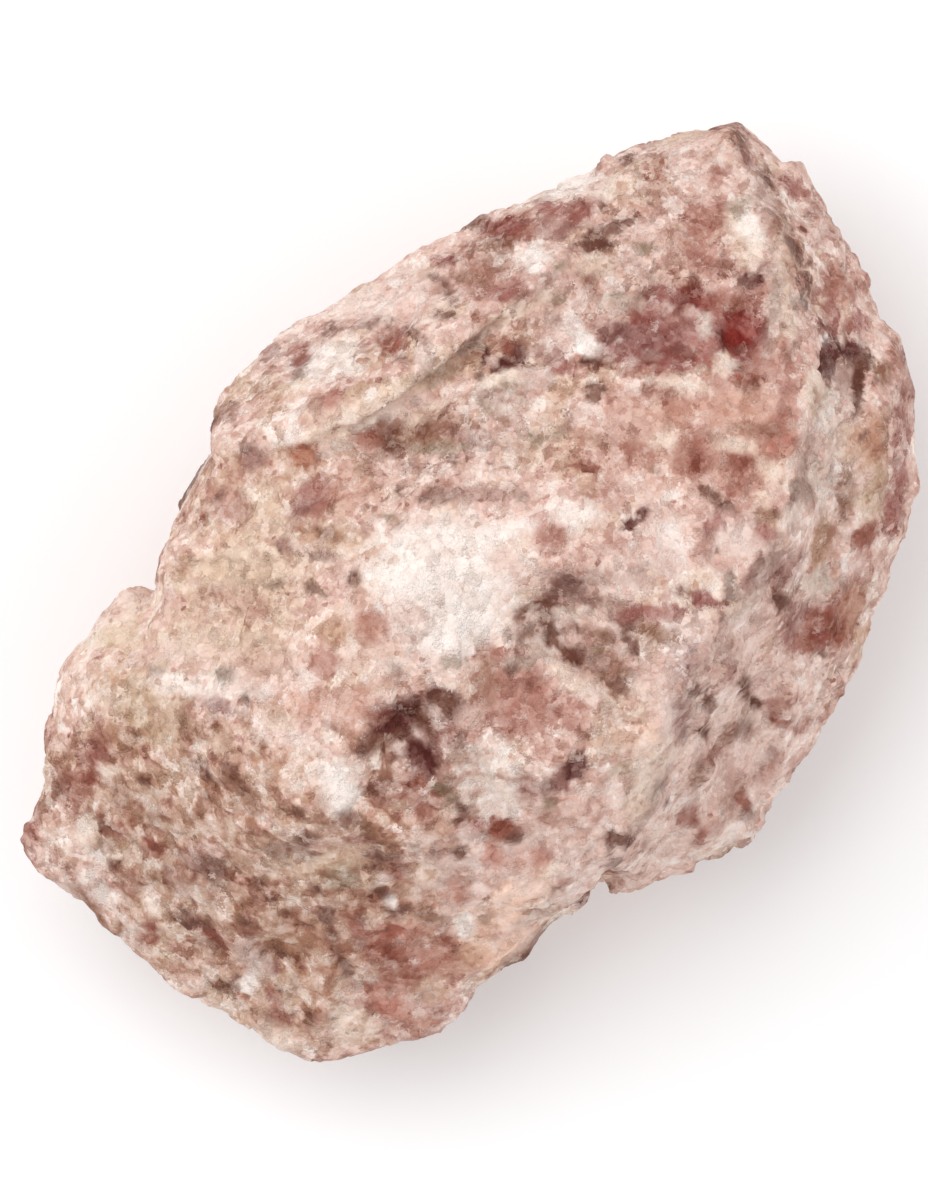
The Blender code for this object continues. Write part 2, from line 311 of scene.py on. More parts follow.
marks = {
    "lower left face": [
        ("salmon", 452, 915, 54, 42, 45, 0.55), ("rose", 415, 1000, 38, 20, -20, 0.8),
        ("rose", 384, 1008, 30, 20, 0, 0.75), ("salmon", 400, 1026, 40, 12, -10, 0.7),
        # peach (430, 880) is painted light where the face turns away from the key
        ("salmon", 438, 960, 34, 20, 10, 0.7), ("peach", 430, 880, 30, 18, 0, 0.5),
        ("palePink", 60, 745, 12, 9, 0, 0.7), ("salmon", 340, 712, 36, 12, -15, 0.75),
        ("tan", 290, 870, 190, 120, 10, 0.55), ("tan", 150, 790, 90, 80, 40, 0.45),
        ("tan", 290, 990, 130, 60, 20, 0.50), ("brown", 290, 880, 130, 70, 0, 0.20),
        ("brown", 190, 890, 110, 60, -35, 0.25), ("redBrown", 390, 960, 90, 60, -40, 0.30),
        ("sand", 152, 712, 42, 26, -20, 0.75), ("brown", 188, 715, 18, 6, 80, 0.5),
        ("umber", 135, 735, 6, 4, 0, 0.3), ("lavender", 217, 705, 24, 8, -25, 0.8),
        ("brown", 253, 734, 20, 5, -52, 0.85), ("mauveRed", 98, 750, 16, 12, 60, 0.85),
        ("redBrown", 72, 787, 20, 16, 20, 0.8), ("umber", 61, 790, 8, 8, 0, 0.6),
        ("redBrown", 94, 775, 12, 7, 70, 0.8), ("brown", 120, 790, 12, 7, -60, 0.85),
        ("umber", 145, 779, 9, 5, -60, 0.85), ("umber", 202, 772, 15, 6, -45, 0.85),
        ("umber", 208, 796, 8, 6, 0, 0.7), ("umber", 229, 770, 11, 7, -20, 0.9),
        ("brown", 240, 785, 18, 9, -45, 0.85), ("brown", 254, 803, 12, 9, -30, 0.85),
        ("tan", 272, 772, 15, 8, -60, 0.7), ("umber", 105, 829, 8, 6, -20, 0.8),
        ("umber", 107, 846, 9, 7, 20, 0.85), ("redBrown", 119, 830, 10, 6, 90, 0.7),
        ("redBrown", 153, 846, 13, 9, -35, 0.9), ("brown", 151, 820, 12, 7, 0, 0.7),
        ("brown", 193, 815, 12, 5, -10, 0.7), ("umber", 114, 864, 6, 6, 0, 0.8),
        ("mauve", 198, 864, 19, 10, -20, 0.75), ("umber", 215, 868, 14, 9, -35, 1.0),
        ("umber", 213, 883, 9, 7, 90, 0.7), ("cream", 109, 770, 11, 6, 0, 0.8),
        ("cream", 175, 830, 9, 5, -70, 0.85), ("palePink", 194, 847, 7, 5, 0, 0.8),
        ("palePink", 210, 850, 11, 5, -30, 0.85), ("cream", 230, 829, 9, 4, 85, 0.8),
        ("cream", 85, 832, 16, 11, 70, 0.7), ("cream", 95, 698, 12, 9, 0, 0.7),
        ("umber", 305, 842, 13, 9, 25, 0.9), ("umber", 282, 852, 17, 7, -5, 0.85),
        ("umber", 310, 858, 9, 5, 0, 0.85), ("palePink", 170, 873, 9, 4, -40, 0.85),
        ("cream", 275, 870, 12, 4, 85, 0.8), ("cream", 292, 900, 7, 5, 0, 0.8),
        ("olive", 341, 876, 15, 14, 0, 0.75), ("umber", 315, 886, 11, 5, -25, 0.85),
        ("umber", 259, 884, 6, 5, 0, 0.7), ("umber", 270, 898, 6, 4, 0, 0.7),
        ("umber", 186, 919, 12, 9, -20, 0.85), ("redBrown", 152, 933, 13, 7, 70, 0.85),
        ("redBrown", 214, 938, 17, 7, -50, 0.85), ("brown", 204, 948, 20, 8, -20, 0.65),
        ("umber", 205, 924, 10, 6, -20, 0.7), ("greyPink", 253, 956, 24, 14, -70, 0.75),
        ("umber", 281, 950, 9, 5, -50, 0.85), ("mauve", 275, 965, 12, 5, 90, 0.85),
        ("umber", 246, 922, 9, 5, -30, 0.8), ("brown", 284, 912, 9, 6, 0, 0.8),
        ("redBrown", 297, 926, 14, 9, -20, 0.7), ("umber", 326, 916, 10, 7, 80, 0.9),
        ("umber", 333, 933, 12, 5, -80, 0.75), ("umber", 344, 966, 13, 8, -60, 0.9),
        ("redBrown", 358, 928, 18, 9, -70, 0.85), ("umber", 362, 922, 8, 6, 90, 0.6),
        ("brown", 292, 953, 8, 6, 90, 0.7), ("umber", 234, 985, 9, 6, 90, 0.75),
        ("umber", 216, 985, 11, 5, -30, 0.75), ("white", 248, 985, 11, 7, -80, 0.85),
        ("redBrown", 274, 1000, 13, 7, -70, 0.9), ("redBrown", 281, 1019, 13, 9, -10, 0.75),
        ("umber", 333, 1020, 6, 4, -30, 0.8), ("cream", 352, 1016, 20, 9, 0, 0.85),
        ("brown", 293, 985, 11, 6, 90, 0.7), ("umber", 310, 1016, 6, 5, 90, 0.5),
        ("umber", 346, 815, 12, 7, 0, 0.9), ("umber", 290, 812, 12, 5, -5, 0.8),
        ("brown", 368, 832, 13, 8, -60, 0.8), ("brown", 327, 824, 13, 4, -65, 0.75),
        ("umber", 373, 854, 9, 6, 0, 0.85), ("umber", 389, 858, 13, 6, 10, 0.8),
        ("umber", 372, 868, 7, 5, 0, 0.85), ("redBrown", 398, 872, 10, 9, 0, 0.9),
        ("palePink", 385, 877, 8, 5, -20, 0.85), ("umber", 381, 890, 14, 5, -50, 0.9),
        ("umber", 393, 914, 9, 6, -20, 0.85), ("umber", 404, 905, 6, 4, 0, 0.8),
        ("white", 392, 902, 7, 4, -30, 0.9), ("umber", 415, 850, 7, 5, -60, 0.8),
        ("umber", 435, 855, 10, 5, -60, 0.8), ("creamYellow", 425, 872, 12, 10, 0, 0.75),
        ("redBrown", 404, 950, 36, 20, -25, 0.9), ("redBrown", 365, 944, 18, 9, -55, 0.8),
        ("redBrown", 425, 955, 18, 9, 20, 0.55), ("redBrown", 410, 978, 12, 9, 80, 0.85),
        ("redBrown", 388, 970, 14, 8, -70, 0.7), ("mauveRed", 383, 996, 22, 14, 0, 0.75),
        ("coral", 400, 930, 26, 8, 0, 0.5), ("umber", 357, 985, 8, 5, 30, 0.75),
        ("white", 130, 935, 26, 7, 55, 0.3), ("white", 92, 870, 24, 10, 60, 0.35),
        ("cream", 200, 900, 20, 7, -50, 0.6), ("cream", 150, 905, 22, 6, -55, 0.7),
        ("white", 338, 784, 26, 20, 90, 0.85), ("palePink", 284, 730, 26, 14, -10, 0.8),
        ("umber", 332, 726, 10, 4, -30, 0.9), ("cream", 281, 722, 17, 12, 0, 0.7),
        ("palePink", 182, 888, 14, 8, -50, 0.6), ("white", 106, 894, 24, 10, -50, 0.65),
        ("white", 252, 688, 20, 11, -20, 0.8), ("umber", 244, 697, 6, 4, 45, 0.8),
        ("salmon", 330, 718, 17, 9, -10, 0.8), ("umber", 333, 727, 9, 4, -30, 0.85),
        ("umber", 348, 818, 12, 7, 0, 0.85), ("tan", 292, 866, 20, 8, -5, 0.65),
        ("tan", 134, 906, 14, 9, -50, 0.6), ("tan", 286, 776, 13, 8, -50, 0.6),
        ("brown", 178, 878, 42, 18, -25, 0.35), ("creamYellow", 340, 862, 26, 8, 0, 0.6),
        ("tan", 292, 942, 24, 10, -10, 0.6), ("coral", 438, 958, 20, 12, 20, 0.5),
        ("cream", 358, 1027, 22, 9, 0, 0.8), ("tan", 217, 742, 16, 12, 0, 0.6),
        ("salmon", 400, 1000, 34, 13, -10, 0.5), ("cream", 215, 745, 15, 11, 0, 0.5),
        ("tan", 118, 738, 22, 11, 0, 0.5), ("tan", 304, 930, 16, 12, 90, 0.5),
        ("tan", 240, 905, 14, 9, 90, 0.45), ("salmon", 440, 958, 18, 12, 20, 0.5),
        ("tan", 386, 840, 11, 8, 0, 0.5), ("tan", 214, 792, 11, 8, 90, 0.4),
        ("brown", 152, 802, 17, 10, 0, 0.45), ("brown", 155, 868, 14, 9, 0, 0.45),
        ("tan", 105, 842, 15, 9, 0, 0.5), ("brown", 282, 846, 20, 9, 0, 0.5),
        ("salmon", 345, 724, 17, 8, -10, 0.6), ("tan", 104, 690, 13, 9, 90, 0.5),
        ("coral", 398, 1010, 24, 12, 0, 0.5),
    ],
    "left band": [
        # cream (248, 568) is painted light that lifts the shade of a pit in the skin
        ("palePink", 262, 664, 42, 24, 0, 0.75), ("cream", 248, 568, 44, 22, 0, 1.0),
        ("creamYellow", 255, 640, 28, 10, 0, 0.5), ("tan", 110, 678, 13, 10, 0, 0.8),
        ("tan", 112, 640, 16, 7, 0, 0.7), ("creamYellow", 200, 640, 150, 36, 4, 0.35),
        ("creamYellow", 112, 636, 26, 10, 10, 0.9), ("white", 190, 685, 44, 9, -6, 0.7),
        ("grey", 155, 670, 8, 5, 0, 0.8), ("grey", 225, 676, 10, 7, 0, 0.8),
        ("brown", 252, 638, 26, 3, -3, 0.1), ("brown", 290, 650, 26, 3, -4, 0.25),
        ("brown", 270, 672, 22, 3, -3, 0.25), ("salmon", 326, 701, 46, 13, 3, 0.8),
        ("salmon", 372, 706, 40, 12, -12, 0.65), ("rose", 257, 613, 15, 8, -20, 0.7),
        ("umber", 273, 585, 10, 5, -10, 0.95), ("rose", 228, 592, 28, 7, 0, 0.7),
        ("umber", 316, 589, 12, 5, -30, 0.9), ("cream", 140, 600, 34, 20, 30, 0.5),
        ("creamYellow", 200, 575, 30, 12, 20, 0.5), ("cream", 190, 638, 34, 12, 5, 0.7),
        # the creams at (245, 580), (248, 560) and (256, 556) are painted light over the same shaded pit
        ("palePink", 150, 655, 24, 9, 20, 0.7), ("cream", 245, 580, 22, 14, 0, 0.7),
        ("cream", 262, 640, 22, 11, 0, 0.45), ("cream", 248, 560, 24, 14, 0, 0.5),
        ("palePink", 190, 655, 26, 11, 0, 0.45), ("cream", 256, 556, 20, 16, 0, 0.4),
    ],
    "shoulder": [
        ("palePink", 401, 300, 60, 26, 15, 0.6), ("white", 330, 360, 36, 22, 15, 0.8),
        # creamYellow (391, 390), the creams at (372, 412), (500, 322) and (530, 304), and white (270, 446)
        # run along the rim: pale rim grains, and painted light for the rim's bright edge and over the
        # shaded crease beneath it
        ("creamYellow", 391, 390, 60, 12, 20, 0.6), ("cream", 372, 412, 36, 6, 20, 0.8),
        ("cream", 500, 322, 40, 8, 40, 0.8), ("cream", 530, 304, 26, 10, 30, 0.8),
        ("white", 270, 446, 36, 6, 6, 0.4), ("red", 299, 357, 15, 11, 100, 0.9),
        ("umber", 297, 375, 6, 5, 0, 0.8), ("mauve", 271, 353, 14, 7, 55, 0.8),
        ("brown", 257, 387, 13, 8, 20, 0.6), ("umber", 330, 330, 10, 6, 10, 0.65),
        ("umber", 368, 324, 15, 5, 20, 0.75), ("umber", 391, 322, 7, 4, 0, 0.6),
        ("redBrown", 391, 343, 14, 12, 80, 0.75), ("umber", 414, 333, 15, 5, -30, 0.7),
        ("umber", 401, 358, 7, 5, 0, 0.6), ("umber", 449, 293, 15, 5, -70, 0.8),
        ("umber", 447, 314, 10, 5, 10, 0.85), ("umber", 437, 279, 10, 4, -30, 0.65),
        ("red", 446, 261, 12, 8, 0, 0.85), ("red", 491, 227, 10, 8, 0, 0.85),
        ("rose", 481, 277, 28, 24, 0, 0.5), ("umber", 467, 346, 22, 4, 38, 0.5),
        ("umber", 427, 370, 18, 3, 42, 0.6), ("olive", 437, 376, 16, 8, 30, 0.65),
        ("rose", 335, 399, 10, 9, 90, 0.85), ("rose", 314, 406, 18, 6, 10, 0.7),
        ("tan", 362, 390, 12, 6, 80, 0.75), ("mauve", 231, 412, 12, 9, 80, 0.75),
        ("tan", 272, 409, 14, 13, 0, 0.6), ("rose", 304, 338, 14, 8, 30, 0.45),
        # cream (405, 397) is painted light over the shaded crease under the rim
        ("greyPink", 423, 360, 12, 9, 80, 0.6), ("cream", 405, 397, 20, 8, 20, 0.7),
        ("cream", 312, 412, 12, 8, 0, 0.6), ("redBrown", 300, 349, 14, 10, 90, 0.6),
        ("tan", 375, 410, 20, 8, 20, 0.45),
    ],
    "below the rim": [
        # under the rim: the brown and umber band just below it, at (430, 434), (405, 434), (376, 431),
        # (368, 437), (388, 437) and (392, 446), is brown grains and painted shadow of the rim; the creams
        # at (330, 430) and (390, 409) and palePink (416, 402) are painted light over the shaded crease
        ("mauve", 470, 440, 90, 26, 8, 0.3), ("tan", 270, 480, 80, 40, 10, 0.4),
        ("brown", 430, 434, 60, 16, 4, 0.65), ("brown", 405, 434, 36, 18, 10, 0.6),
        ("cream", 330, 430, 36, 9, 14, 0.9), ("cream", 390, 409, 36, 8, 26, 0.9),
        ("palePink", 416, 402, 18, 9, 10, 0.85), ("umber", 376, 431, 24, 6, 22, 0.85),
        ("redBrown", 368, 437, 19, 9, 8, 0.85), ("umber", 388, 437, 13, 10, 80, 0.7),
        ("umber", 392, 446, 11, 8, -40, 0.95), ("mauve", 470, 437, 24, 9, -10, 0.6),
        ("brown", 366, 470, 10, 8, 60, 0.8), ("umber", 408, 465, 10, 5, 30, 0.65),
        ("umber", 424, 472, 10, 5, -20, 0.6), ("umber", 449, 458, 8, 6, 0, 0.7),
        ("olive", 440, 447, 26, 4, 5, 0.7), ("umber", 439, 495, 21, 7, 3, 1.0),
        ("mauve", 487, 494, 40, 8, 3, 0.75), ("brown", 481, 486, 14, 4, 5, 0.7),
        ("brown", 511, 487, 10, 5, 0, 0.8), ("umber", 519, 498, 8, 4, 0, 0.75),
        ("umber", 399, 491, 4, 4, 0, 0.8), ("paleGrey", 505, 402, 20, 12, 0, 0.6),
        ("olive", 484, 403, 13, 7, -60, 0.85), ("brown", 499, 417, 13, 4, -25, 0.85),
        ("greyPink", 522, 384, 28, 13, 10, 0.65), ("olive", 502, 386, 22, 4, 8, 0.7),
        ("brown", 522, 394, 8, 4, -40, 0.7), ("redBrown", 510, 345, 14, 9, 0, 0.85),
        ("maroon", 502, 365, 13, 7, -10, 1.0), ("maroon", 519, 354, 13, 6, 90, 0.95),
        ("maroon", 488, 357, 9, 6, 90, 0.9), ("umber", 479, 376, 5, 4, 0, 0.8),
        ("palePink", 494, 362, 4, 4, 0, 0.9), ("cream", 500, 378, 20, 4, 15, 0.8),
        ("mauve", 550, 354, 22, 12, -10, 0.7), ("mauveRed", 566, 370, 9, 8, 0, 0.75),
        ("brown", 535, 330, 20, 14, 40, 0.5), ("umber", 567, 426, 12, 4, 65, 0.85),
        ("olive", 552, 436, 14, 5, 15, 0.75), ("olive", 534, 438, 8, 5, 90, 0.65),
        ("greyPink", 568, 330, 22, 12, 0, 0.6), ("greyPink", 576, 414, 14, 8, 0, 0.6),
        # cream (428, 412) is painted light over the shaded crease under the rim
        ("cream", 428, 412, 20, 7, 28, 0.7), ("mauve", 489, 396, 20, 8, 0, 0.5),
    ],
    "centre left": [
        ("white", 450, 590, 66, 52, 50, 0.55), ("creamYellow", 262, 545, 90, 50, 20, 0.4),
        ("palePink", 450, 580, 100, 70, 50, 0.5), ("white", 428, 556, 56, 34, 15, 0.85),
        ("white", 476, 596, 58, 26, 65, 0.9), ("white", 452, 632, 34, 20, 10, 0.7),
        ("white", 392, 570, 26, 12, 30, 0.7), ("white", 500, 535, 34, 10, 20, 0.7),
        ("white", 520, 566, 24, 9, 40, 0.6), ("white", 430, 600, 30, 12, -20, 0.6),
        ("palePink", 375, 660, 40, 16, 0, 0.5), ("rust", 303, 456, 17, 12, -8, 1.0),
        ("umber", 316, 457, 6, 5, 90, 0.8), ("tan", 289, 471, 10, 6, 80, 0.9),
        ("tan", 283, 452, 9, 6, 30, 0.7), ("mauve", 254, 460, 13, 10, 0, 0.85),
        ("umber", 248, 446, 8, 4, 40, 0.7), ("paleGrey", 335, 447, 17, 7, 25, 0.8),
        ("mauveRed", 315, 497, 26, 17, 42, 0.85), ("mauve", 303, 507, 13, 8, 30, 0.75),
        ("salmon", 350, 490, 17, 13, 0, 0.75), ("rose", 231, 506, 20, 16, -20, 0.8),
        ("umber", 218, 499, 7, 5, 60, 0.7), ("brown", 244, 512, 12, 8, 90, 0.5),
        ("redBrown", 202, 519, 10, 5, 80, 0.7), ("tan", 323, 538, 27, 10, -8, 0.85),
        ("brown", 325, 530, 12, 5, 30, 0.7), ("umber", 322, 557, 15, 4, -3, 0.75),
        ("umber", 329, 536, 14, 3, -35, 0.6), ("mauve", 284, 545, 9, 8, -30, 0.7),
        ("mauve", 363, 531, 7, 6, 0, 0.75), ("umber", 351, 577, 9, 6, 0, 0.8),
        ("olive", 390, 518, 11, 3, -5, 0.65), ("tan", 184, 566, 12, 7, 90, 0.75),
        ("rose", 370, 625, 17, 16, 0, 0.9), ("orange", 368, 628, 12, 10, 0, 0.4),
        ("tan", 332, 632, 14, 13, 0, 0.85), ("rose", 323, 664, 17, 14, 80, 0.95),
        ("palePink", 350, 560, 30, 8, 0, 0.5), ("olive", 456, 663, 13, 6, 0, 0.75),
        ("grey", 392, 668, 10, 7, 0, 0.5), ("palePink", 334, 577, 13, 9, 0, 0.85),
        ("salmon", 506, 562, 17, 14, 0, 0.55), ("palePink", 385, 680, 20, 8, -10, 0.7),
        ("palePink", 509, 590, 22, 9, 60, 0.5),
    ],
    "dark nest": [
        ("mauve", 425, 745, 50, 46, 0, 0.4), ("mauve", 450, 735, 20, 14, 90, 0.65),
        # redBrown (388, 724), maroon (398, 722) and maroon (400, 715) on the nest's upper-left side are
        # dark grains and painted shade of the pit's upper-left wall
        ("redBrown", 388, 724, 18, 10, 35, 0.9), ("maroon", 398, 722, 28, 19, 38, 1.0),
        ("maroon", 400, 715, 17, 12, 0, 1.0), ("umber", 426, 723, 17, 9, -50, 0.95),
        ("umber", 400, 736, 10, 8, 0, 0.9), ("maroon", 445, 698, 17, 10, -15, 1.0),
        ("umber", 444, 706, 18, 13, -30, 1.0), ("maroon", 422, 756, 20, 14, -60, 1.0),
        ("maroon", 427, 766, 12, 8, -65, 1.0), ("umber", 368, 748, 14, 11, 60, 0.9),
        ("brown", 384, 742, 10, 7, 0, 0.85), ("umber", 391, 753, 8, 4, -20, 0.7),
        ("umber", 382, 789, 14, 9, 0, 0.65), ("brown", 387, 769, 10, 7, 90, 0.75),
        ("redBrown", 421, 786, 10, 8, 90, 0.9), ("redBrown", 411, 796, 12, 9, -40, 0.75),
        ("rose", 426, 812, 16, 12, 80, 0.65), ("brown", 459, 757, 12, 8, 90, 0.8),
        # palePink (434, 712) is a painted glint on the dark grains
        ("umber", 457, 742, 8, 4, -20, 0.75), ("palePink", 434, 712, 5, 3, 0, 0.7),
        ("palePink", 420, 736, 10, 3, -38, 0.6), ("palePink", 398, 746, 6, 4, -10, 0.8),
        # redBrown (378, 717) is dark grain and painted shade of the pit's upper-left wall
        ("palePink", 402, 776, 9, 4, -10, 0.6), ("redBrown", 378, 717, 11, 9, 0, 0.6),
    ],
    "curled hollow": [
        ("greyPink", 585, 635, 56, 46, -20, 0.75), ("grey", 524, 634, 18, 12, -20, 0.6),
        ("paleGrey", 540, 650, 14, 8, -40, 0.8), ("palePink", 540, 578, 14, 11, 0, 0.8),
        # the umber arc from (529, 608) through (567, 584) to (591, 575), and on down to (567, 652), is dark
        # grains and painted shade of the hollow's upper-left wall
        ("palePink", 625, 588, 24, 8, -5, 0.6), ("umber", 567, 584, 14, 12, 20, 1.0),
        ("umber", 556, 595, 11, 5, 35, 0.95), ("umber", 591, 575, 8, 5, 90, 0.85),
        ("brown", 600, 582, 7, 4, -30, 0.6), ("umber", 586, 597, 24, 4, -8, 0.8),
        # umbers (529, 608), (548, 620), (555, 641) and (567, 652): dark grains and painted shade of the
        # hollow's wall
        ("brown", 612, 605, 12, 4, -15, 0.8), ("umber", 529, 608, 15, 5, 42, 0.95),
        ("umber", 548, 620, 20, 6, -88, 1.0), ("umber", 555, 641, 10, 7, -50, 1.0),
        ("umber", 567, 652, 16, 8, -38, 1.0), ("umber", 583, 656, 7, 5, 90, 0.8),
        ("paleGrey", 578, 613, 24, 7, -5, 1.0), ("palePink", 603, 621, 13, 5, -15, 0.8),
        ("umber", 579, 629, 6, 4, 0, 0.8), ("brown", 566, 632, 6, 3, 20, 0.7),
        ("brown", 600, 636, 14, 3, -3, 0.75), ("palePink", 568, 639, 8, 4, 0, 0.7),
        ("greyPink", 595, 655, 12, 8, 0, 0.8), ("olive", 598, 650, 5, 4, 0, 0.8),
        ("umber", 619, 622, 8, 4, -5, 0.95), ("umber", 630, 640, 18, 6, -68, 1.0),
        ("greyPink", 619, 648, 9, 8, 80, 0.9), ("brown", 614, 676, 16, 10, 10, 0.85),
        ("umber", 618, 687, 9, 6, 85, 0.9), ("olive", 630, 692, 7, 5, 10, 0.8),
        ("cream", 570, 679, 26, 8, -35, 0.95), ("umber", 512, 669, 7, 4, 0, 0.8),
        ("umber", 527, 662, 6, 3, 0, 0.75), ("umber", 545, 611, 11, 6, 80, 0.9),
        ("maroon", 566, 582, 10, 8, 20, 0.5),
    ],
    "right of the hollow": [
        ("palePink", 742, 540, 28, 16, 0, 0.8), ("salmon", 742, 548, 20, 12, 0, 0.4),
        ("greyPink", 622, 577, 36, 9, -5, 0.75), ("greyPink", 690, 624, 26, 13, 0, 0.7),
        ("palePink", 634, 423, 28, 14, -50, 0.95), ("palePink", 652, 672, 20, 11, 60, 0.8),
        ("salmon", 700, 435, 110, 56, 0, 0.5), ("palePink", 640, 540, 90, 50, 0, 0.4),
        ("redBrown", 640, 455, 18, 10, 0, 0.4), ("rose", 712, 440, 24, 10, -20, 0.6),
        ("rose", 762, 442, 20, 14, 60, 0.6), ("brown", 600, 440, 16, 8, -20, 0.5),
        ("mauveRed", 651, 613, 30, 9, 2, 0.95), ("red", 705, 599, 19, 8, -15, 0.95),
        ("umber", 684, 589, 10, 6, -10, 0.9), ("brown", 650, 632, 8, 6, 0, 0.85),
        ("brown", 663, 636, 18, 8, -20, 0.85), ("umber", 640, 566, 12, 4, 10, 0.75),
        ("umber", 671, 650, 6, 4, 60, 0.7), ("rose", 611, 495, 18, 16, 0, 0.65),
        ("rose", 551, 532, 17, 16, 0, 0.65), ("maroon", 632, 523, 8, 5, 30, 1.0),
        ("maroon", 645, 513, 5, 5, 0, 0.95), ("rose", 742, 486, 19, 11, 20, 0.75),
        ("umber", 714, 498, 18, 4, -45, 0.9), ("mauveRed", 714, 528, 14, 9, 60, 0.9),
        ("rose", 710, 556, 15, 6, -60, 0.8), ("cream", 735, 446, 22, 7, 0, 0.8),
        ("cream", 772, 470, 22, 8, -50, 0.8), ("white", 574, 514, 22, 14, -10, 0.75),
        ("white", 672, 545, 22, 10, 90, 0.75), ("palePink", 640, 556, 40, 12, 0, 0.5),
        ("redBrown", 588, 469, 13, 6, -10, 0.85), ("redBrown", 687, 454, 18, 14, 90, 0.75),
        ("redBrown", 736, 463, 15, 10, -10, 0.85), ("redBrown", 700, 432, 12, 6, -20, 0.6),
        ("mauveRed", 702, 427, 8, 7, 0, 0.8), ("brown", 712, 434, 9, 4, -30, 0.7),
        ("cream", 662, 440, 15, 8, 0, 0.7), ("palePink", 766, 404, 15, 8, 0, 0.85),
        ("rose", 741, 512, 13, 10, 0, 0.6), ("redBrown", 698, 466, 13, 9, 60, 0.8),
        ("salmon", 740, 546, 22, 14, 0, 0.5), ("umber", 729, 506, 11, 3, -30, 0.7),
        ("brown", 655, 470, 9, 5, 20, 0.7), ("greyPink", 740, 536, 24, 14, 0, 0.5),
        ("rose", 668, 576, 34, 9, 90, 0.45), ("brown", 601, 578, 10, 7, 0, 0.6),
        ("palePink", 629, 421, 17, 9, 0, 0.6), ("salmon", 670, 410, 16, 9, 0, 0.6),
    ],
    "lower centre": [
        # where the skin turns away from the key, around 480 to 550 px across and 880 to 960 down, the peach
        # and pale pink marks are painted light that lifts its shade
        ("peach", 486, 900, 46, 26, 25, 0.85), ("peach", 500, 930, 48, 28, 50, 0.95),
        ("palePink", 524, 916, 42, 12, 45, 0.8), ("salmon", 516, 856, 46, 18, 0, 0.8),
        ("palePink", 578, 850, 22, 14, 0, 0.7), ("palePink", 568, 745, 20, 9, 0, 0.75),
        ("cream", 645, 708, 16, 13, 80, 0.7), ("greyPink", 470, 716, 11, 10, 0, 0.6),
        ("palePink", 520, 850, 95, 62, 30, 0.75), ("salmon", 580, 800, 70, 40, 50, 0.35),
        ("rose", 517, 700, 42, 30, -35, 0.95), ("rose", 574, 714, 17, 14, 90, 0.8),
        ("rose", 492, 655, 14, 9, 0, 0.75), ("brown", 487, 680, 28, 14, 90, 0.65),
        ("paleGrey", 490, 780, 34, 30, 0, 0.5), ("salmon", 628, 745, 24, 11, -10, 0.85),
        ("brown", 600, 738, 18, 8, 0, 0.6), ("sand", 622, 771, 12, 8, 10, 0.85),
        # cream (652, 755) is painted light over the shaded valley between the lower centre and the flank
        ("cream", 652, 755, 34, 9, 60, 0.65), ("maroon", 576, 765, 12, 9, 70, 1.0),
        ("mauve", 562, 779, 20, 9, 45, 0.85), ("maroon", 545, 788, 9, 7, 90, 0.85),
        ("mauve", 526, 788, 14, 12, 0, 0.7), ("olive", 548, 803, 7, 6, 0, 0.75),
        ("red", 488, 828, 21, 9, 3, 0.95), ("redBrown", 500, 829, 19, 10, -3, 0.9),
        ("umber", 516, 838, 9, 5, 10, 0.85), ("umber", 458, 822, 8, 5, 0, 1.0),
        ("umber", 461, 808, 7, 4, -60, 0.9), ("umber", 458, 852, 8, 6, 30, 0.95),
        ("coral", 490, 858, 11, 9, 80, 0.75), ("brown", 515, 868, 8, 5, 0, 0.8),
        ("rose", 550, 854, 17, 8, 0, 0.7), ("palePink", 578, 852, 16, 12, 0, 0.8),
        ("rose", 457, 889, 15, 12, -60, 0.85), ("brown", 467, 880, 6, 6, 0, 0.7),
        ("white", 467, 926, 13, 9, 90, 0.95), ("brown", 432, 917, 15, 7, -10, 0.85),
        # palePink (501, 893) is painted light on the shaded crease
        ("redBrown", 447, 937, 13, 7, -60, 0.75), ("palePink", 501, 893, 28, 24, 0, 0.7),
        ("olive", 484, 915, 8, 4, -60, 0.7), ("olive", 441, 786, 7, 6, 0, 0.8),
        ("olive", 452, 796, 8, 6, -60, 0.75), ("white", 508, 768, 12, 5, -50, 0.7),
        ("greyPink", 470, 836, 16, 10, 0, 0.4), ("brown", 525, 912, 18, 4, 45, 0.8),
        ("cream", 539, 878, 24, 8, 36, 0.85), ("brown", 545, 897, 28, 3, 38, 0.7),
        ("paleGrey", 547, 912, 26, 12, 38, 0.6), ("mauveRed", 529, 936, 15, 10, 50, 0.75),
        ("tan", 471, 957, 14, 12, 0, 0.6), ("tan", 430, 990, 16, 12, 0, 0.6),
        ("palePink", 470, 717, 11, 10, 0, 0.75), ("paleGrey", 520, 665, 15, 8, 0, 0.85),
        ("umber", 512, 670, 7, 4, 0, 0.75), ("tan", 600, 752, 16, 10, 0, 0.6),
        ("sand", 610, 716, 14, 12, 0, 0.5), ("coral", 516, 862, 26, 11, 0, 0.5),
        ("greyPink", 500, 737, 14, 8, 0, 0.5), ("salmon", 455, 899, 15, 11, 0, 0.6),
        # peach (520, 944) is painted light on the shaded crease
        ("rose", 612, 716, 14, 12, 0, 0.5), ("peach", 520, 944, 26, 10, 42, 0.8),
        ("rose", 521, 721, 28, 13, 0, 0.7), ("maroon", 575, 766, 13, 9, 60, 1.0),
        # peach (514, 900) and (525, 905) are painted light on the shaded crease
        ("tan", 620, 742, 26, 10, -5, 0.55), ("peach", 514, 900, 34, 16, 35, 0.7),
        ("salmon", 527, 872, 15, 13, 0, 0.6), ("rose", 457, 900, 13, 10, 0, 0.5),
        ("peach", 525, 905, 28, 11, 40, 0.7),
    ],
    "top edge": [
        ("greyPink", 600, 285, 64, 28, 5, 0.35), ("mauve", 640, 215, 120, 60, 35, 0.2),
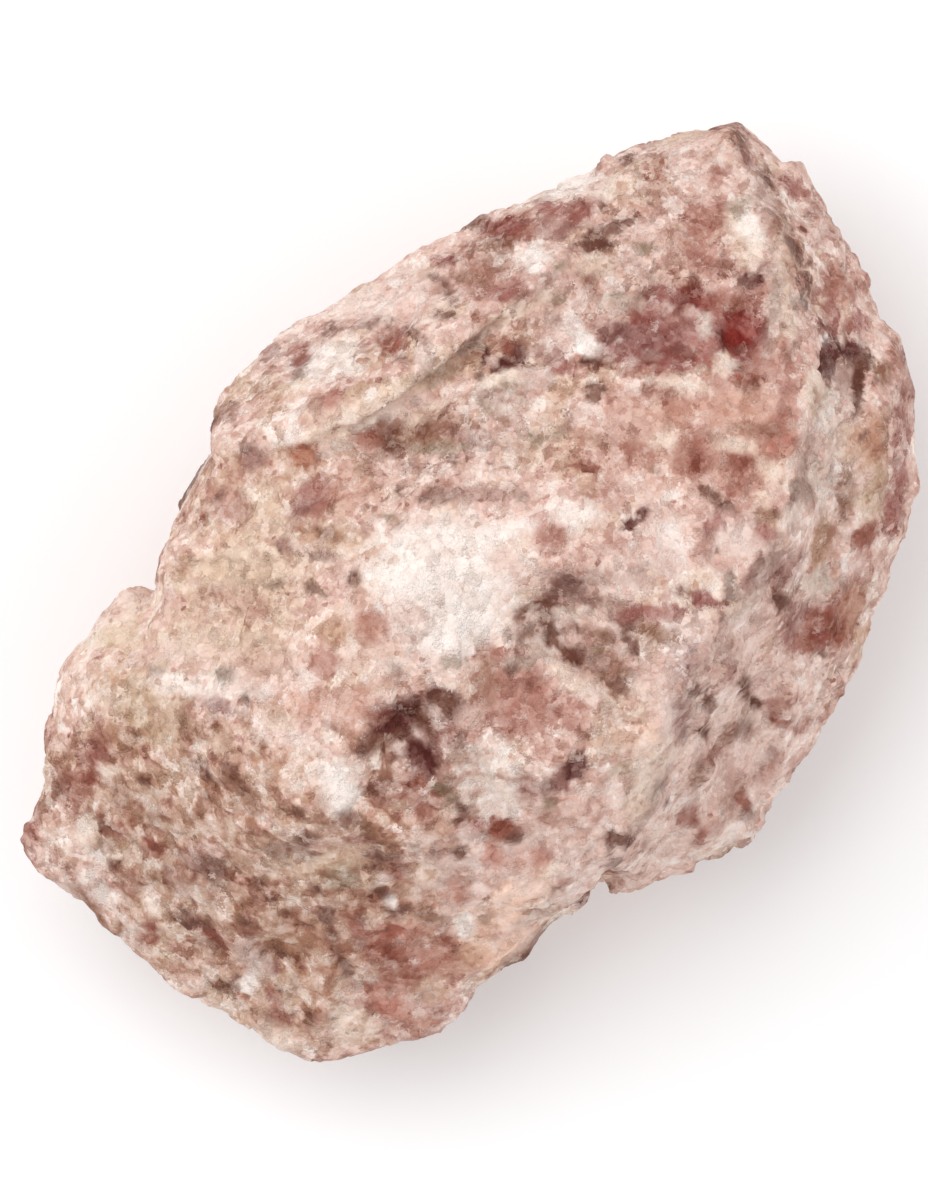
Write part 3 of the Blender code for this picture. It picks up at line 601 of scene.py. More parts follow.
        ("paleGrey", 610, 302, 22, 11, 0, 0.5), ("redBrown", 512, 229, 34, 14, 8, 0.95),
        ("red", 508, 228, 17, 9, 5, 0.8), ("umber", 504, 240, 14, 4, -5, 0.75),
        ("mauve", 542, 198, 9, 8, 60, 0.85), ("mauveRed", 556, 208, 26, 8, -8, 0.95),
        ("mauveRed", 588, 206, 17, 7, 32, 0.95), ("mauveRed", 571, 222, 14, 9, 60, 0.85),
        ("mauve", 556, 229, 22, 9, 0, 0.8), ("white", 572, 186, 32, 10, 10, 0.85),
        ("cream", 606, 190, 16, 9, 10, 0.8), ("white", 534, 259, 14, 13, -30, 0.85),
        ("umber", 611, 229, 33, 7, 23, 1.0), ("umber", 598, 245, 14, 7, 0, 1.0),
        ("palePink", 649, 232, 11, 8, 0, 0.9), ("olive", 644, 246, 13, 4, -15, 0.8),
        ("olive", 561, 265, 8, 4, 20, 0.7), ("olive", 560, 299, 9, 6, 30, 0.7),
        ("olive", 616, 297, 9, 4, 5, 0.7), ("brown", 486, 250, 24, 10, 0, 0.6),
        ("brown", 488, 271, 22, 8, 0, 0.6), ("brown", 470, 279, 14, 4, -10, 0.7),
        ("mauveRed", 510, 291, 20, 10, 0, 0.8), ("redBrown", 484, 270, 14, 6, -10, 0.55),
        ("umber", 627, 158, 8, 7, 0, 0.75), ("redBrown", 655, 162, 20, 9, -75, 0.7),
        ("brown", 658, 193, 14, 8, -60, 0.6), ("brown", 713, 153, 12, 6, 30, 0.65),
        ("palePink", 700, 182, 20, 10, 80, 0.6), ("palePink", 727, 152, 10, 6, 0, 0.6),
        ("rose", 702, 235, 32, 20, 80, 0.75), ("rose", 718, 178, 14, 9, 60, 0.6),
        ("cream", 747, 232, 32, 17, -78, 0.85), ("white", 749, 226, 18, 10, -78, 0.8),
        ("olive", 735, 208, 10, 6, 90, 0.6), ("olive", 748, 200, 9, 4, 40, 0.6),
        ("cream", 592, 264, 22, 9, 0, 0.65),
    ],
    "red patch": [
        ("mauveRed", 690, 328, 70, 36, 0, 1.0), ("wine", 643, 341, 38, 17, 0, 0.95),
        ("wine", 682, 296, 34, 12, -3, 0.8), ("mauve", 684, 322, 22, 12, 0, 0.5),
        ("wine", 645, 338, 30, 15, 0, 0.8), ("maroon", 616, 333, 15, 9, 10, 0.85),
        ("mauve", 604, 330, 12, 8, 10, 0.7), ("red", 693, 298, 20, 8, -5, 0.85),
        ("red", 703, 302, 10, 8, 0, 0.95), ("umber", 645, 292, 9, 7, 60, 0.7),
        ("red", 744, 331, 26, 17, -12, 1.0), ("brightRed", 736, 339, 16, 10, -15, 0.95),
        ("brightRed", 748, 322, 14, 9, -30, 0.6), ("maroon", 722, 334, 12, 4, 90, 0.9),
        ("wine", 752, 357, 17, 13, 60, 0.9), ("maroon", 751, 280, 13, 9, 0, 0.85),
        ("redBrown", 745, 375, 15, 10, -30, 0.95), ("umber", 738, 368, 7, 4, -20, 0.9),
        ("rose", 764, 362, 16, 13, 80, 0.8), ("umber", 746, 387, 10, 4, 10, 0.7),
        ("wine", 664, 364, 28, 7, -5, 0.95), ("mauveRed", 690, 364, 24, 7, 0, 0.8),
        ("umber", 595, 391, 11, 10, 90, 1.0), ("umber", 598, 363, 17, 6, -5, 0.95),
        ("paleGrey", 705, 326, 12, 6, 80, 0.85), ("cream", 725, 360, 11, 7, -30, 0.85),
        ("palePink", 712, 288, 8, 5, 0, 0.9), ("rose", 733, 297, 15, 8, -10, 0.7),
        ("palePink", 735, 295, 7, 4, 0, 0.6), ("palePink", 620, 341, 5, 5, 0, 0.9),
        ("cream", 652, 354, 7, 4, 0, 0.9), ("palePink", 634, 366, 9, 6, 90, 0.75),
        ("greyPink", 684, 350, 12, 5, 0, 0.6), ("palePink", 662, 310, 9, 4, 20, 0.5),
        ("palePink", 690, 312, 9, 4, 0, 0.5), ("white", 588, 344, 14, 9, -45, 0.95),
        ("cream", 682, 383, 28, 6, -8, 0.95), ("mauve", 663, 394, 28, 8, -3, 0.4),
        ("salmon", 730, 409, 50, 18, 5, 0.75), ("paleGrey", 617, 305, 22, 9, 0, 0.5),
        ("mauve", 612, 353, 14, 9, 0, 0.8), ("rose", 722, 381, 14, 7, 0, 0.75),
        ("rose", 779, 364, 20, 12, 85, 0.75), ("wine", 648, 352, 34, 12, 0, 0.7),
        ("redBrown", 716, 306, 12, 8, 0, 0.6), ("paleGrey", 628, 303, 13, 8, 0, 0.6),
        ("rose", 742, 303, 11, 7, 0, 0.7), ("maroon", 640, 340, 24, 11, 0, 0.5),
        ("redBrown", 642, 373, 30, 6, -5, 0.5),
    ],
    "tip flank": [
        ("umber", 740, 142, 20, 5, -65, 0.75), ("mauve", 746, 160, 14, 6, -60, 0.7),
        ("greyPink", 765, 205, 42, 9, -78, 0.75), ("umber", 768, 178, 11, 4, -60, 0.75),
        ("brown", 783, 213, 24, 5, -72, 0.9), ("umber", 792, 250, 16, 5, -68, 1.0),
        ("umber", 804, 283, 13, 5, -65, 0.75), ("mauveRed", 795, 187, 13, 9, -50, 0.9),
        ("mauve", 810, 212, 11, 6, 80, 0.8), ("brown", 809, 262, 6, 5, 0, 0.85),
        ("mauve", 768, 264, 9, 7, 0, 0.8), ("cream", 786, 302, 44, 7, -82, 0.8),
        ("brown", 776, 232, 26, 6, 85, 0.6), ("grey", 801, 301, 11, 8, 0, 0.75),
        ("mauveRed", 828, 318, 22, 11, 80, 0.85), ("umber", 823, 326, 9, 5, 0, 0.8),
        ("rose", 842, 285, 20, 16, -40, 0.8), ("mauveRed", 858, 321, 14, 9, 80, 0.9),
        ("rose", 830, 232, 26, 9, -80, 0.6), ("white", 826, 339, 6, 5, 0, 0.9),
        ("umber", 775, 300, 30, 4, 85, 0.6), ("umber", 848, 358, 22, 17, 0, 0.5),
        ("maroon", 830, 358, 20, 10, 80, 1.0), ("maroon", 829, 375, 11, 5, 75, 1.0),
        ("maroon", 850, 350, 11, 9, 0, 1.0), ("greyPink", 845, 380, 18, 6, 76, 0.95),
        ("umber", 858, 386, 30, 7, 84, 1.0), ("umber", 867, 362, 12, 5, 80, 0.85),
        ("brown", 884, 372, 11, 8, 90, 0.85), ("rose", 897, 362, 22, 7, -75, 0.7),
        ("mauve", 901, 390, 9, 7, 0, 0.75), ("umber", 790, 352, 9, 5, 60, 0.6),
        ("mauveRed", 788, 388, 11, 7, 20, 0.9), ("rose", 786, 418, 19, 12, 70, 0.85),
        ("brown", 760, 430, 28, 7, -5, 0.7), ("coral", 782, 448, 20, 10, 20, 0.6),
        ("cream", 812, 385, 13, 8, 80, 0.75), ("sand", 820, 402, 18, 13, 60, 0.75),
        ("paleGrey", 826, 450, 62, 15, 85, 0.6), ("tan", 872, 445, 29, 14, 85, 0.85),
        ("orange", 875, 447, 20, 8, 85, 0.5), ("umber", 863, 435, 4, 4, 0, 0.8),
        ("mauveRed", 901, 448, 46, 8, 88, 0.7), ("rose", 795, 372, 24, 9, 80, 0.6),
    ],
    "flank": [
        ("palePink", 700, 780, 130, 70, 50, 0.72), ("palePink", 800, 580, 120, 60, 70, 0.25),
        ("paleGrey", 776, 300, 60, 8, 82, 0.5), ("greyPink", 806, 470, 60, 5, 80, 0.65),
        ("paleGrey", 790, 520, 50, 8, 65, 0.6), ("greyPink", 775, 560, 50, 5, 60, 0.65),
        ("paleGrey", 742, 610, 50, 8, 60, 0.6), ("paleGrey", 690, 700, 50, 8, 70, 0.5),
        # cream (655, 766) is painted light over the shaded valley between the lower centre and the flank
        ("palePink", 662, 722, 62, 13, 87, 0.85), ("cream", 655, 766, 30, 11, 70, 0.8),
        ("paleGrey", 652, 794, 40, 8, 65, 0.6), ("palePink", 740, 646, 20, 16, 0, 0.6),
        ("rose", 862, 572, 26, 12, 75, 0.8), ("mauveRed", 810, 630, 30, 22, 20, 0.85),
        ("redBrown", 848, 612, 30, 20, 62, 0.9), ("orange", 851, 616, 26, 14, 62, 0.6),
        ("tan", 862, 642, 20, 9, 70, 0.7), ("sand", 872, 492, 26, 14, 85, 0.8),
        ("brown", 848, 492, 21, 9, 88, 0.85), ("palePink", 862, 484, 14, 5, 55, 0.8),
        ("mauveRed", 897, 502, 34, 9, 80, 0.85), ("umber", 795, 492, 17, 4, 72, 0.95),
        ("mauve", 803, 469, 10, 4, 70, 0.75), ("grey", 808, 490, 13, 7, 80, 0.6),
        ("mauveRed", 765, 532, 15, 9, -40, 0.85), ("brown", 768, 517, 14, 7, 10, 0.85),
        ("palePink", 730, 546, 22, 16, 0, 0.6), ("tan", 822, 545, 24, 10, 82, 0.9),
        ("brown", 824, 535, 12, 6, 85, 0.6), ("redBrown", 867, 534, 18, 9, 40, 0.95),
        ("umber", 756, 569, 15, 5, 62, 1.0), ("mauve", 748, 585, 24, 6, 40, 0.65),
        ("grey", 731, 590, 11, 8, 90, 0.7), ("mauve", 785, 570, 24, 14, 30, 0.75),
        ("umber", 795, 586, 8, 5, 90, 0.75), ("umber", 781, 602, 14, 9, -15, 0.95),
        ("mauve", 797, 608, 12, 8, -20, 0.8), ("mauve", 791, 623, 15, 7, -75, 0.85),
        ("redBrown", 825, 628, 26, 15, 35, 0.95), ("redBrown", 846, 606, 24, 13, 50, 0.85),
        ("orange", 852, 602, 16, 11, 50, 0.6), ("red", 815, 639, 14, 7, 20, 0.75),
        ("redBrown", 803, 644, 11, 8, -30, 0.85), ("umber", 818, 654, 9, 5, 10, 0.8),
        ("umber", 843, 585, 8, 5, -60, 0.75), ("orange", 835, 573, 18, 5, 85, 0.6),
        ("paleGrey", 818, 582, 15, 13, 0, 0.9), ("palePink", 752, 632, 30, 16, 80, 0.7),
        ("lavender", 690, 656, 26, 13, 30, 0.6), ("lavender", 680, 690, 18, 10, 80, 0.5),
        ("mauve", 726, 630, 17, 4, -85, 0.7), ("mauve", 729, 668, 19, 5, -75, 0.75),
        ("umber", 745, 687, 14, 7, -80, 1.0), ("umber", 755, 702, 9, 6, -40, 0.95),
        ("umber", 748, 728, 13, 4, 80, 0.75), ("umber", 695, 689, 9, 3, 90, 0.8),
        ("umber", 708, 701, 13, 6, -75, 0.95), ("umber", 704, 726, 13, 5, 80, 0.95),
        ("mauve", 682, 716, 23, 8, 85, 0.85), ("umber", 684, 735, 9, 5, 60, 0.75),
        ("brown", 728, 736, 16, 7, 60, 0.75), ("umber", 740, 727, 12, 3, 80, 0.6),
        ("redBrown", 716, 754, 14, 6, 30, 0.8), ("brown", 697, 777, 30, 6, 85, 0.7),
        ("redBrown", 780, 722, 12, 7, -30, 0.95), ("rose", 773, 707, 10, 6, 90, 0.75),
        ("redBrown", 803, 728, 12, 7, 40, 0.75), ("mauve", 773, 755, 8, 6, -60, 0.75),
        ("redBrown", 742, 798, 19, 8, -65, 0.95), ("umber", 749, 813, 9, 6, 0, 0.75),
        ("redBrown", 689, 816, 13, 10, 90, 0.85), ("redBrown", 700, 838, 11, 7, 60, 0.85),
        ("rose", 716, 829, 13, 6, 20, 0.75), ("umber", 669, 803, 6, 5, 90, 0.9),
        ("greyPink", 652, 804, 34, 8, 62, 0.75), ("grey", 660, 790, 15, 5, 48, 0.6),
        ("mauve", 644, 850, 13, 6, 75, 0.7), ("umber", 629, 841, 9, 7, 0, 0.9),
        ("umber", 612, 841, 14, 6, 85, 0.95), ("umber", 614, 865, 11, 6, 40, 0.75),
        ("palePink", 780, 772, 26, 14, 50, 0.6), ("rose", 768, 775, 14, 8, 30, 0.5),
        # creams (637, 800) and (648, 752) and palePinks (706, 655), (728, 642) and (738, 778) are painted
        # light over the shaded valley and creases
        ("brown", 728, 805, 16, 8, 80, 0.5), ("cream", 637, 800, 22, 12, 80, 0.8),
        ("cream", 648, 752, 22, 11, 80, 0.75), ("palePink", 706, 655, 14, 10, 60, 0.7),
        ("palePink", 728, 642, 22, 8, 90, 0.6), ("palePink", 738, 778, 22, 9, 50, 0.6),
        ("paleGrey", 798, 470, 28, 8, 80, 0.5), ("greyPink", 765, 565, 16, 9, 40, 0.5),
        # palePink (704, 668) is painted light over a shaded crease
        ("palePink", 704, 668, 12, 8, 60, 0.5), ("brown", 846, 490, 22, 9, 88, 0.6),
        # peach (646, 745) is painted light in the valley
        ("peach", 646, 745, 20, 12, 70, 0.6),
    ],
}

# Broad soft places where the grains change: place, half length, half width and direction, as above.
zones = {
    "mosaic": [(330, 890, 240, 150, 25), (150, 800, 120, 90, 40), (680, 340, 80, 40, 5)],
    "beds": [(775, 600, 250, 120, 70), (830, 330, 200, 80, 75), (660, 800, 130, 90, 50)],
}

# Sides that the camera doesn't see carry marks of the same kinds, strewn by chance.
strewn = {
    "seed": 7,
    "count": 620,
    "kinds": ("white", "white", "cream", "palePink", "palePink", "brown", "brown", "umber", "umber",
              "rose", "rose", "mauve", "mauveRed", "redBrown", "tan", "olive", "salmon", "red", "maroon"),
    "facing": 0.12,                # only where the surface faces up less than this
    "halfLength": (0.5, 2.6),      # mm
    "spreadOut": 1.2,              # above 1, long marks get longer and short ones shorter
    "halfWidth": (0.4, 0.9),       # share of the half length
    "strength": (0.45, 0.95),
}

skin = {
    "voxel": 0.27,                 # mm
    "smoothing": 4,
    "triangles": 190000,
    "grain": 0.75,                 # mm: marks end along the borders of grains of this size
    "grainHold": 0.45,             # 0: marks have clean borders, 1: they cover whole grains
    "markSize": 1.12,              # 1 lays the marks as big as their rows say
    "leastWidth": 5,               # px: half the width of the thinnest mark
    "markDepth": 1.2,              # how deep a mark goes, as a share of its half length
    "moreDepth": 1.5,              # and mm more
    "softBorder": 0.24,            # a strong mark fades out within this share of its size, in and out
    "faintBorder": 0.4,            # what the faintest mark has on top of that
    "zoneBorder": 0.5,             # the same share for a zone
}


def markFrame(centre, along, across, inward, halfLength, halfWidth, halfDepth):
    # turns a place into one where the mark is a ball of radius 1
    scaled = Matrix((along / halfLength, across / halfWidth, inward / halfDepth))
    return np.array(scaled), np.array(centre)


def pictureRay(across, down):
    # the ray from the camera through a place of the picture
    camera = bpy.context.scene.camera
    pixel = camera.data.sensor_width / camera.data.lens / studio["pictureHeight"]
    offset = Vector(((across - studio["pictureWidth"] / 2) * pixel,
                     (studio["pictureHeight"] / 2 - down) * pixel, -1))
    return camera.location, (camera.rotation_euler.to_matrix() @ offset), pixel


def pictureMark(surface, across, down, halfLength, halfWidth, degrees):
    # a mark that shows in the picture as an ellipse at this place, laid on the stone behind it
    eye, ray, pixel = pictureRay(across, down)
    hit = surface.ray_cast(eye, ray.normalized())[0]
    if hit is None:
        return None
    size = pixel * (eye - hit).z * skin["markSize"]
    angle = math.radians(degrees + studio["cameraTurn"])
    along = Vector((math.cos(angle), math.sin(angle), 0))
    inward = -ray.normalized()
    side = inward.cross(along).normalized()
    depth = skin["markDepth"] * halfLength * size + skin["moreDepth"] * mm
    width = max(halfWidth, skin["leastWidth"]) * size
    return markFrame(hit, side.cross(inward), side, inward, halfLength * size, width, depth)


def strewnMarks(places, normals):
    # marks for the faces that look down or away
    chance = random.Random(strewn["seed"])
    hidden = np.flatnonzero(normals[:, 2] < strewn["facing"])
    for _ in range(strewn["count"]):
        at = hidden[chance.randrange(len(hidden))]
        inward = Vector(normals[at]).normalized()
        turn = Vector([chance.uniform(-1, 1) for _ in range(3)])
        along = inward.cross(turn).normalized()
        length = chance.uniform(*strewn["halfLength"]) ** strewn["spreadOut"] * mm
        width = length * chance.uniform(*strewn["halfWidth"])
        place = markFrame(Vector(places[at]), along, inward.cross(along), inward, length, width, length)
        yield chance.choice(strewn["kinds"]), place, chance.uniform(*strewn["strength"])


def reach(places, place, soft):
    # 1 inside a mark, falling to 0 across its border
    scaled, centre = place
    farthest = (1 + soft) / np.linalg.norm(scaled, axis=1).min()
    near = np.flatnonzero(np.abs(places - centre).max(axis=1) < farthest)
    distance = np.linalg.norm((places[near] - centre) @ scaled.T, axis=1)
    return near, np.clip((1 + soft - distance) / (2 * soft), 0, 1)


def grained(places):
    # each place, drawn towards the middle of the grain it lies in
    unit = skin["grain"] * mm
    middles = np.array([voronoi(Vector(p))[1][0] for p in places / unit]) * unit
    return places + (middles - places) * skin["grainHold"]


def paintMarks(mesh, surface):
    # writes on the mesh's points what is laid there: a colour, how much it covers, and each zone's share
    count = len(mesh.vertices)
    places = np.empty(count * 3, np.float32)
    normals = np.empty(count * 3, np.float32)
    mesh.vertices.foreach_get("co", places)
    mesh.vertices.foreach_get("normal", normals)
    places = places.reshape(-1, 3)
    normals = normals.reshape(-1, 3)
    ragged = grained(places)
    laid = []
    for rows in marks.values():
        for tint, *spot, strength in rows:
            place = pictureMark(surface, *spot)
            if place:
                laid.append((tint, place, strength))
    laid.extend(strewnMarks(places, normals))
    colour = np.tile(tints["salmon"][:3], (count, 1))
    share = np.zeros(count)
    for tint, place, strength in laid:
        near, amount = reach(ragged, place, skin["softBorder"] + skin["faintBorder"] * (1 - strength))
        amount = amount * strength
        over = amount + share[near] * (1 - amount)
        part = amount / np.maximum(over, tiny)
        colour[near] += (np.array(tints[tint][:3]) - colour[near]) * part[:, None]
        share[near] = over
    paint = mesh.attributes.new("laid", "FLOAT_COLOR", "POINT")
    paint.data.foreach_set("color", np.column_stack((colour, share)).astype(np.float32).ravel())
    for name, rows in zones.items():
        value = np.zeros(count)
        for spot in rows:
            place = pictureMark(surface, *spot)
            if place:
                near, amount = reach(ragged, place, skin["zoneBorder"])
                value[near] = np.maximum(value[near], amount)
        zone = mesh.attributes.new(name, "FLOAT", "POINT")
        zone.data.foreach_set("value", value.astype(np.float32))
    print("marks laid:", len(laid))


# Relief of the grains, in mm outwards, and the tone that goes with it: 0 is pale, 1 is dark.

relief = {
    "bigStep": 0.34,               # grains stand out or back by up to half of this
    "bigTilt": 0.22,               # how steeply they lean
    "bigGroove": 0.16,             # the cut along their borders
    "smallStep": 0.20,
    "smallTilt": 0.25,
    "stepBorder": 0.16,            # how wide a step is, and a groove, as a share of a grain
    "grooveBorder": 0.12,
    "grooveLevel": 0.8,            # how much of the groove is cut in, the rest stands out
    "patchWidth": 7.0,             # mm: patches with less relief
    "patchLeast": 0.35,            # and the share of it that they keep
    "crumbWidth": 0.7,
    "crumb": 0.14,
    "beds": 0.7,
    "baseEase": 1.2,               # the relief fades out this near the floor
    "baseLeast": 0.2,
}

tones = {
    "middle": 0.36,
    "blotchWidth": 6.0,            # mm
    "blotch": 0.50,
    "patchWidth": 2.2,             # mm
    "patch": 0.28,
    "bigGrain": 0.26,
    "smallGrain": 0.22,
    "border": 0.10,                # share of a grain
    "paleBorder": 0.06,
    "mosaicRange": (0.45, 0.85),   # where a mosaic lies, small grains turn dark over this range of chance
    "mosaicPale": 0.35,            # and how much the others turn pale
    "mosaic": 0.32,
    "beds": 0.85,
    "rustWidth": 4.0,
    "rustGrain": 0.5,              # how much of the rust goes by whole grains
    "rustRange": (0.78, 1.05),
    "rust": 0.6,
}

noiseRange = (0.35, 0.65)          # between these lies most of a noise


def centred(tree, value):
    return maths(tree, "SUBTRACT", value, 0.5)


def field(tree, name):
    read = node(tree, "GeometryNodeInputNamedAttribute", data_type="FLOAT")
    read.inputs["Name"].default_value = name
    return read.outputs["Attribute"]


def grainHeight(tree, grain, step, tilt):
    # each grain has its own level and its own slope
    inner = spread(tree, grain["edge"], 0.0, relief["stepBorder"])
    raised = maths(tree, "MULTIPLY", centred(tree, axes(tree, grain["random"])[0]), inner)
    slope = vectors(tree, "SUBTRACT", grain["random"], halfway)
    leaning = vectors(tree, "DOT_PRODUCT", grain["from"], slope)
    return total(tree, ((raised, step), (leaning, tilt)))


def reliefHeight(tree, place, big, small, beds):
    inner = spread(tree, big["edge"], 0.0, relief["grooveBorder"])
    groove = maths(tree, "SUBTRACT", inner, relief["grooveLevel"])
    patchy = spread(tree, noise(tree, place, relief["patchWidth"]), *noiseRange, relief["patchLeast"], 1.0)
    grainy = total(tree, (
        (grainHeight(tree, big, relief["bigStep"], relief["bigTilt"]), 1.0),
        (groove, relief["bigGroove"]),
        (grainHeight(tree, small, relief["smallStep"], relief["smallTilt"]), 1.0),
    ))
    height = total(tree, (
        (maths(tree, "MULTIPLY", grainy, patchy), 1.0),
        (centred(tree, noise(tree, place, relief["crumbWidth"], detail=3.0, rough=0.6)), relief["crumb"]),
        (beds, relief["beds"]),
    ))
    clear = spread(tree, axes(tree, place)[2], 0.0, relief["baseEase"], relief["baseLeast"], 1.0)
    return maths(tree, "MULTIPLY", height, clear)


def grainTone(tree, place, big, small, beds):
    bigDark = axes(tree, big["random"])[0]
    smallDark = axes(tree, small["random"])[1]
    darkGrain = maths(tree, "SUBTRACT", spread(tree, smallDark, *tones["mosaicRange"]), tones["mosaicPale"])
    tone = total(tree, (
        (centred(tree, noise(tree, place, tones["blotchWidth"], detail=3.0)), tones["blotch"]),
        (centred(tree, noise(tree, place, tones["patchWidth"])), tones["patch"]),
        (centred(tree, bigDark), tones["bigGrain"]),
        (centred(tree, smallDark), tones["smallGrain"]),
        (spread(tree, big["edge"], 0.0, tones["border"], 1.0, 0.0), -tones["paleBorder"]),
        (maths(tree, "MULTIPLY", field(tree, "mosaic"), darkGrain), tones["mosaic"]),
        (beds, tones["beds"]),
    ))
    return maths(tree, "ADD", tone, tones["middle"])


def stored(tree, geometry, name, value):
    new = node(tree, "GeometryNodeStoreNamedAttribute", data_type="FLOAT", domain="POINT")
    plug(tree, new.inputs["Geometry"], geometry)
    new.inputs["Name"].default_value = name
    plug(tree, new.inputs["Value"], value)
    return new.outputs["Geometry"]


def reliefTree():
    tree = bpy.data.node_groups.new("grain relief", "GeometryNodeTree")
    tree.interface.new_socket("Geometry", in_out="INPUT", socket_type="NodeSocketGeometry")
    tree.interface.new_socket("Geometry", in_out="OUTPUT", socket_type="NodeSocketGeometry")
    entry = node(tree, "NodeGroupInput")
    leave = node(tree, "NodeGroupOutput")
    place = rockPlace(tree, node(tree, "GeometryNodeInputPosition").outputs[0])
    bent = wander(tree, place, rock["wanderWidth"], rock["wanderReach"])
    big = cells(tree, bent, rock["bigGrain"])
    small = cells(tree, bent, rock["smallGrain"])
    beds = maths(tree, "MULTIPLY", centred(tree, sheets(tree, bent)), field(tree, "beds"))
    patches = noise(tree, place, tones["rustWidth"])
    rust = total(tree, ((axes(tree, big["random"])[1], tones["rustGrain"]), (patches, 1.0)))
    shape = stored(tree, entry.outputs[0], "tone", grainTone(tree, place, big, small, beds))
    shape = stored(tree, shape, "rust", spread(tree, rust, *tones["rustRange"], 0.0, tones["rust"]))
    height = maths(tree, "MULTIPLY", reliefHeight(tree, place, big, small, beds), mm)
    outward = node(tree, "GeometryNodeInputNormal").outputs[0]
    move = node(tree, "GeometryNodeSetPosition")
    plug(tree, move.inputs["Geometry"], shape)
    plug(tree, move.inputs["Offset"], vectors(tree, "SCALE", outward, scale=height))
    plug(tree, leave.inputs[0], move.outputs["Geometry"])
    return tree


def applied(piece):
    # the piece's mesh with its modifiers worked in
    shape = bpy.data.meshes.new_from_object(piece.evaluated_get(bpy.context.evaluated_depsgraph_get()))
    piece.modifiers.clear()
    piece.data = shape
    return shape


def rockSkin(solid):
    shape = bmesh.new()
    shape.from_mesh(solid.data)
    bmesh.ops.remove_doubles(shape, verts=shape.verts, dist=tiny)
    surface = BVHTree.FromBMesh(shape)
    data = bpy.data.meshes.new("rock_skin")
    shape.to_mesh(data)
    shape.free()
    piece = bpy.data.objects.new("rock_skin", data)
    bpy.context.scene.collection.objects.link(piece)
    remesh = piece.modifiers.new("even mesh", "REMESH")
    remesh.mode = "VOXEL"
    remesh.voxel_size = skin["voxel"] * mm
    ease = piece.modifiers.new("ease", "SMOOTH")
    ease.iterations = skin["smoothing"]
    even = applied(piece)
    print("even mesh:", len(even.vertices), "points")
    paintMarks(even, surface)
    raised = piece.modifiers.new("grain relief", "NODES")
    raised.node_group = reliefTree()
    fewer = piece.modifiers.new("fewer", "DECIMATE")
    fewer.ratio = min(1.0, skin["triangles"] / (2 * len(even.polygons)))
    fewer.use_collapse_triangulate = True
    final = applied(piece)
    for vertex in final.vertices:
        vertex.co.z = max(vertex.co.z, 0.0)
    final.shade_smooth()
    final.update()
    print("rock skin:", len(final.polygons), "triangles")
    return piece


# The look of the rock: its small grains, marks, painted glints and gloss, then its own pink and yellow,
# pale to dark.

look = {
    "crumb": 0.75,                 # mm: small grains, then specks, then fine noise
    "speck": 0.36,
    "fine": 0.2,
    "crumbTone": 0.25,             # how far each of the three goes darker or paler
    "speckTone": 0.20,
    "fineTone": 0.24,
    # how much paler the painted glints go, and how much darker the dark flecks
    "glintAndFleck": 0.16,
    "glintRange": (0.93, 0.97),    # the specks above this are painted glints: pale spots that stand in for the sparkle of mica
    "darkFleckRange": (0.05, 0.03),
    "crumbRust": 0.22,             # how far single small grains turn from pink to yellow
    "pinhole": 0.26,               # small grains that show through a mark
    "pinholeRange": (0.86, 0.89),
    "crumbBreak": 2.7,             # how far crumbs, specks and fine noise break up a mark's border
    "speckBreak": 2.1,
    "fineBreak": 2.4,
    "laidDarken": 0.9,             # how far a mark follows the tone of the grains that it covers
    "laidDeepen": 1.2,             # the same, as a deeper or a fainter stain
    "laidLighten": 0.4,
    "laidOwn": 0.4,                # and how much less where it is at its strongest
    "darkest": srgb(98, 48, 40),
    "palest": srgb(244, 218, 204),
    "specular": 0.14,
    "roughness": (0.45, 0.70),     # of the smoothest and the roughest specks
    "roughnessRange": (0.1, 0.9),
    "bump": 0.00014,               # m
    "bumpStrength": 0.8,
    "fineBump": 0.5,
    "crumbStep": 0.5,
    "crumbTilt": 2.4,
    "speckTilt": 1.2,
}

paleToDark = (
    (0.00, srgb(252, 237, 228)), (0.15, srgb(242, 216, 204)), (0.30, srgb(227, 192, 179)),
    (0.45, srgb(209, 168, 155)), (0.60, srgb(187, 141, 128)), (0.75, srgb(159, 111, 98)),
    (0.88, srgb(124, 78, 67)), (1.00, srgb(80, 44, 39)),
)
paleToRust = (
    (0.00, srgb(250, 238, 224)), (0.30, srgb(228, 202, 178)), (0.55, srgb(198, 158, 132)),
    (0.80, srgb(150, 106, 84)), (1.00, srgb(84, 52, 44)),
)


def specks(tree, place, width):
    # what each small grain holds at random, and how its own slope lifts it, from about -0.3 to 0.3
    grain = node(tree, "ShaderNodeTexVoronoi", voronoi_dimensions="3D", feature="F1")
    plug(tree, grain.inputs["Vector"], place)
    grain.inputs["Scale"].default_value = 1 / width
    slope = vectors(tree, "SUBTRACT", grain.outputs["Color"], halfway)
    fromMiddle = vectors(tree, "SUBTRACT", place, grain.outputs["Position"])
    inside = vectors(tree, "SCALE", fromMiddle, scale=1 / width)
    return axes(tree, grain.outputs["Color"]), vectors(tree, "DOT_PRODUCT", inside, slope)


def painted(tree, name):
    return node(tree, "ShaderNodeAttribute", attribute_name=name)


